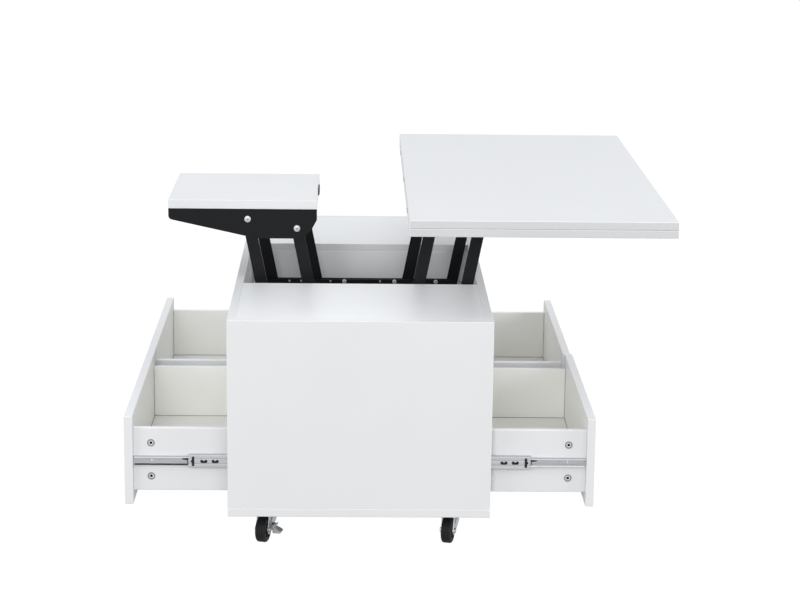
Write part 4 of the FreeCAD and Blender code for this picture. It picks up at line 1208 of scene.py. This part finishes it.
def make_wheel(caster):
    """A caster wheel: a rubber tyre on a moulded hub with spokes on both flanks."""
    centre, axle = axle_of(caster)
    body = caster + "_wheel"
    tyre = bmesh.new()
    turned_ring(tyre, tyre_profile(centre.z), centre, axle)
    shaped(caster + "_tyre", tyre, body, TYRE_BLACK, replaced=(caster + "_caster_wheel",))
    hub = bmesh.new()
    turned_ring(hub, hub_profile(), centre, axle)
    add_spokes(hub, centre, axle)
    shaped(caster + "_hub", hub, body, MOULDED_BLACK)


def make_lever_flange(caster):
    """The flange that is folded down from a brake lever's edge, outlined in millimetres from its pivot."""
    joint = JOINTS[caster + "_brake_press"]
    pivot = Vector(joint["pos_m"])
    along = Vector(joint["axis"]).normalized()
    shape = bmesh.new()
    outline = [(x * MILLIMETRE, z * MILLIMETRE) for x, z in LEVER_FLANGE]
    prism(shape, outline, -LEVER_FLANGE_SETBACK, LEVER_FLANGE_STEEL)
    turn = Matrix((along.cross(UP), along, UP)).transposed()
    bmesh.ops.transform(shape, matrix=Matrix.Translation(pivot) @ turn.to_4x4(), verts=shape.verts)
    shaped(caster + "_lever_flange", shape, caster + "_brake", FORK_ZINC)


def make_caster_fixings():
    """The rivets on the axles and the screws through the plates."""
    for caster in CASTERS:
        centre, axle = axle_of(caster)
        places = [centre + axle * (end * FORK_HALF) for end in BOTH_ENDS]
        facings = [axle * end for end in BOTH_ENDS]
        mesh = grown(RIVETS, places, facings, Finish=FORK_ZINC, **AXLE_RIVET)
        piece(caster + "_axle_rivets", mesh, caster + "_caster")
    places = []
    for low, high in solid_boxes("caster_plates"):
        plate_z = high.z - CASTER_PLATE_STEEL
        for x in (low.x + CASTER_SCREW_INSET, high.x - CASTER_SCREW_INSET):
            for y in (low.y + CASTER_SCREW_INSET, high.y - CASTER_SCREW_INSET):
                places.append((x, y, plate_z))
    screws("caster_plate_screws", PAN_SCREW, places, [-UP] * len(places), "cabinet")


# Studio

def make_floor():
    """A pale floor that glows as a light table does, and throws back less of it than is seen."""
    mesh = bpy.data.meshes.new("studio_floor")
    corners = [(x, y, 0) for x, y in rectangle(0, 0, 2 * FLOOR_HALF, 2 * FLOOR_HALF)]
    mesh.from_pydata(corners, [], [(0, 1, 2, 3)])
    paper, tree, shader = finish("studio_paper", Roughness=1.0, Specular_IOR_Level=0.0)
    shader["Base Color"].default_value = rgb(FLOOR_TONE, FLOOR_TONE, FLOOR_TONE)
    shader["Emission Color"].default_value = rgb(1.0, 1.0, 1.0)
    path = add(tree, "ShaderNodeLightPath").outputs
    inputs = {0: path["Is Camera Ray"], 3: FLOOR_BOUNCE, 4: FLOOR_GLOW}
    seen = add(tree, "ShaderNodeMapRange", inputs).outputs[0]
    glow = add(tree, "ShaderNodeMix", {0: path["Is Glossy Ray"], 2: seen, 3: FLOOR_SHEEN}).outputs[0]
    tree.links.new(glow, shader["Emission Strength"])
    mesh.materials.append(paper)
    floor = bpy.data.objects.new("studio_floor", mesh)
    bpy.context.scene.collection.objects.link(floor)


def make_lights():
    """An even white room with large soft lights: two in front, one on each side and one behind."""
    world = bpy.data.worlds.new("white_room")
    world.use_nodes = True
    tree = world.node_tree
    sky = tree.nodes["Background"].inputs
    sky["Color"].default_value = rgb(*SKY_TINT)
    seen = add(tree, "ShaderNodeLightPath").outputs["Is Camera Ray"]
    glow = add(tree, "ShaderNodeMapRange", {0: seen, 3: SKY_STRENGTH, 4: FLOOR_GLOW}).outputs[0]
    tree.links.new(glow, sky["Strength"])
    bpy.context.scene.world = world
    for name, (place, power) in SOFTBOXES.items():
        light = bpy.data.lights.new(name, "AREA")
        light.shape = "DISK"
        light.size = SOFTBOX_SIZE
        light.energy = power
        light.color = SOFTBOX_TINT
        lamp = bpy.data.objects.new(name, light)
        lamp.location = place
        aim = Vector(SOFTBOX_AIM) - lamp.location
        lamp.rotation_euler = aim.to_track_quat("-Z", "Y").to_euler()
        bpy.context.scene.collection.objects.link(lamp)


def make_camera():
    """The photograph's view."""
    lens = bpy.data.cameras.new("photo_camera")
    lens.lens = LENS
    lens.sensor_fit = "HORIZONTAL"
    lens.sensor_width = SENSOR_WIDTH
    camera = bpy.data.objects.new("photo_camera", lens)
    turn = Matrix.Rotation(-CAMERA_YAW, 4, "Z") @ Matrix.Rotation(math.pi / 2 - CAMERA_PITCH, 4, "X")
    camera.matrix_world = Matrix.Translation(CAMERA_PLACE) @ turn @ Matrix.Rotation(CAMERA_ROLL, 4, "Z")
    bpy.context.scene.collection.objects.link(camera)
    bpy.context.scene.camera = camera
    bpy.context.scene.view_settings.view_transform = "Standard"


dress_nodes()
make_pivot_bolts("panel_bracket_bolts", "panel_pivot_bolts", "support_panel")
make_pivot_bolts("top_bracket_bolts", "top_pivot_bolts", "folding_top")
make_lift_screws()
make_hinge_screws()
make_drawers()
for caster_name in CASTERS:
    make_wheel(caster_name)
for caster_name in BRAKED_CASTERS:
    make_lever_flange(caster_name)
make_caster_fixings()
make_floor()
make_lights()
make_camera()
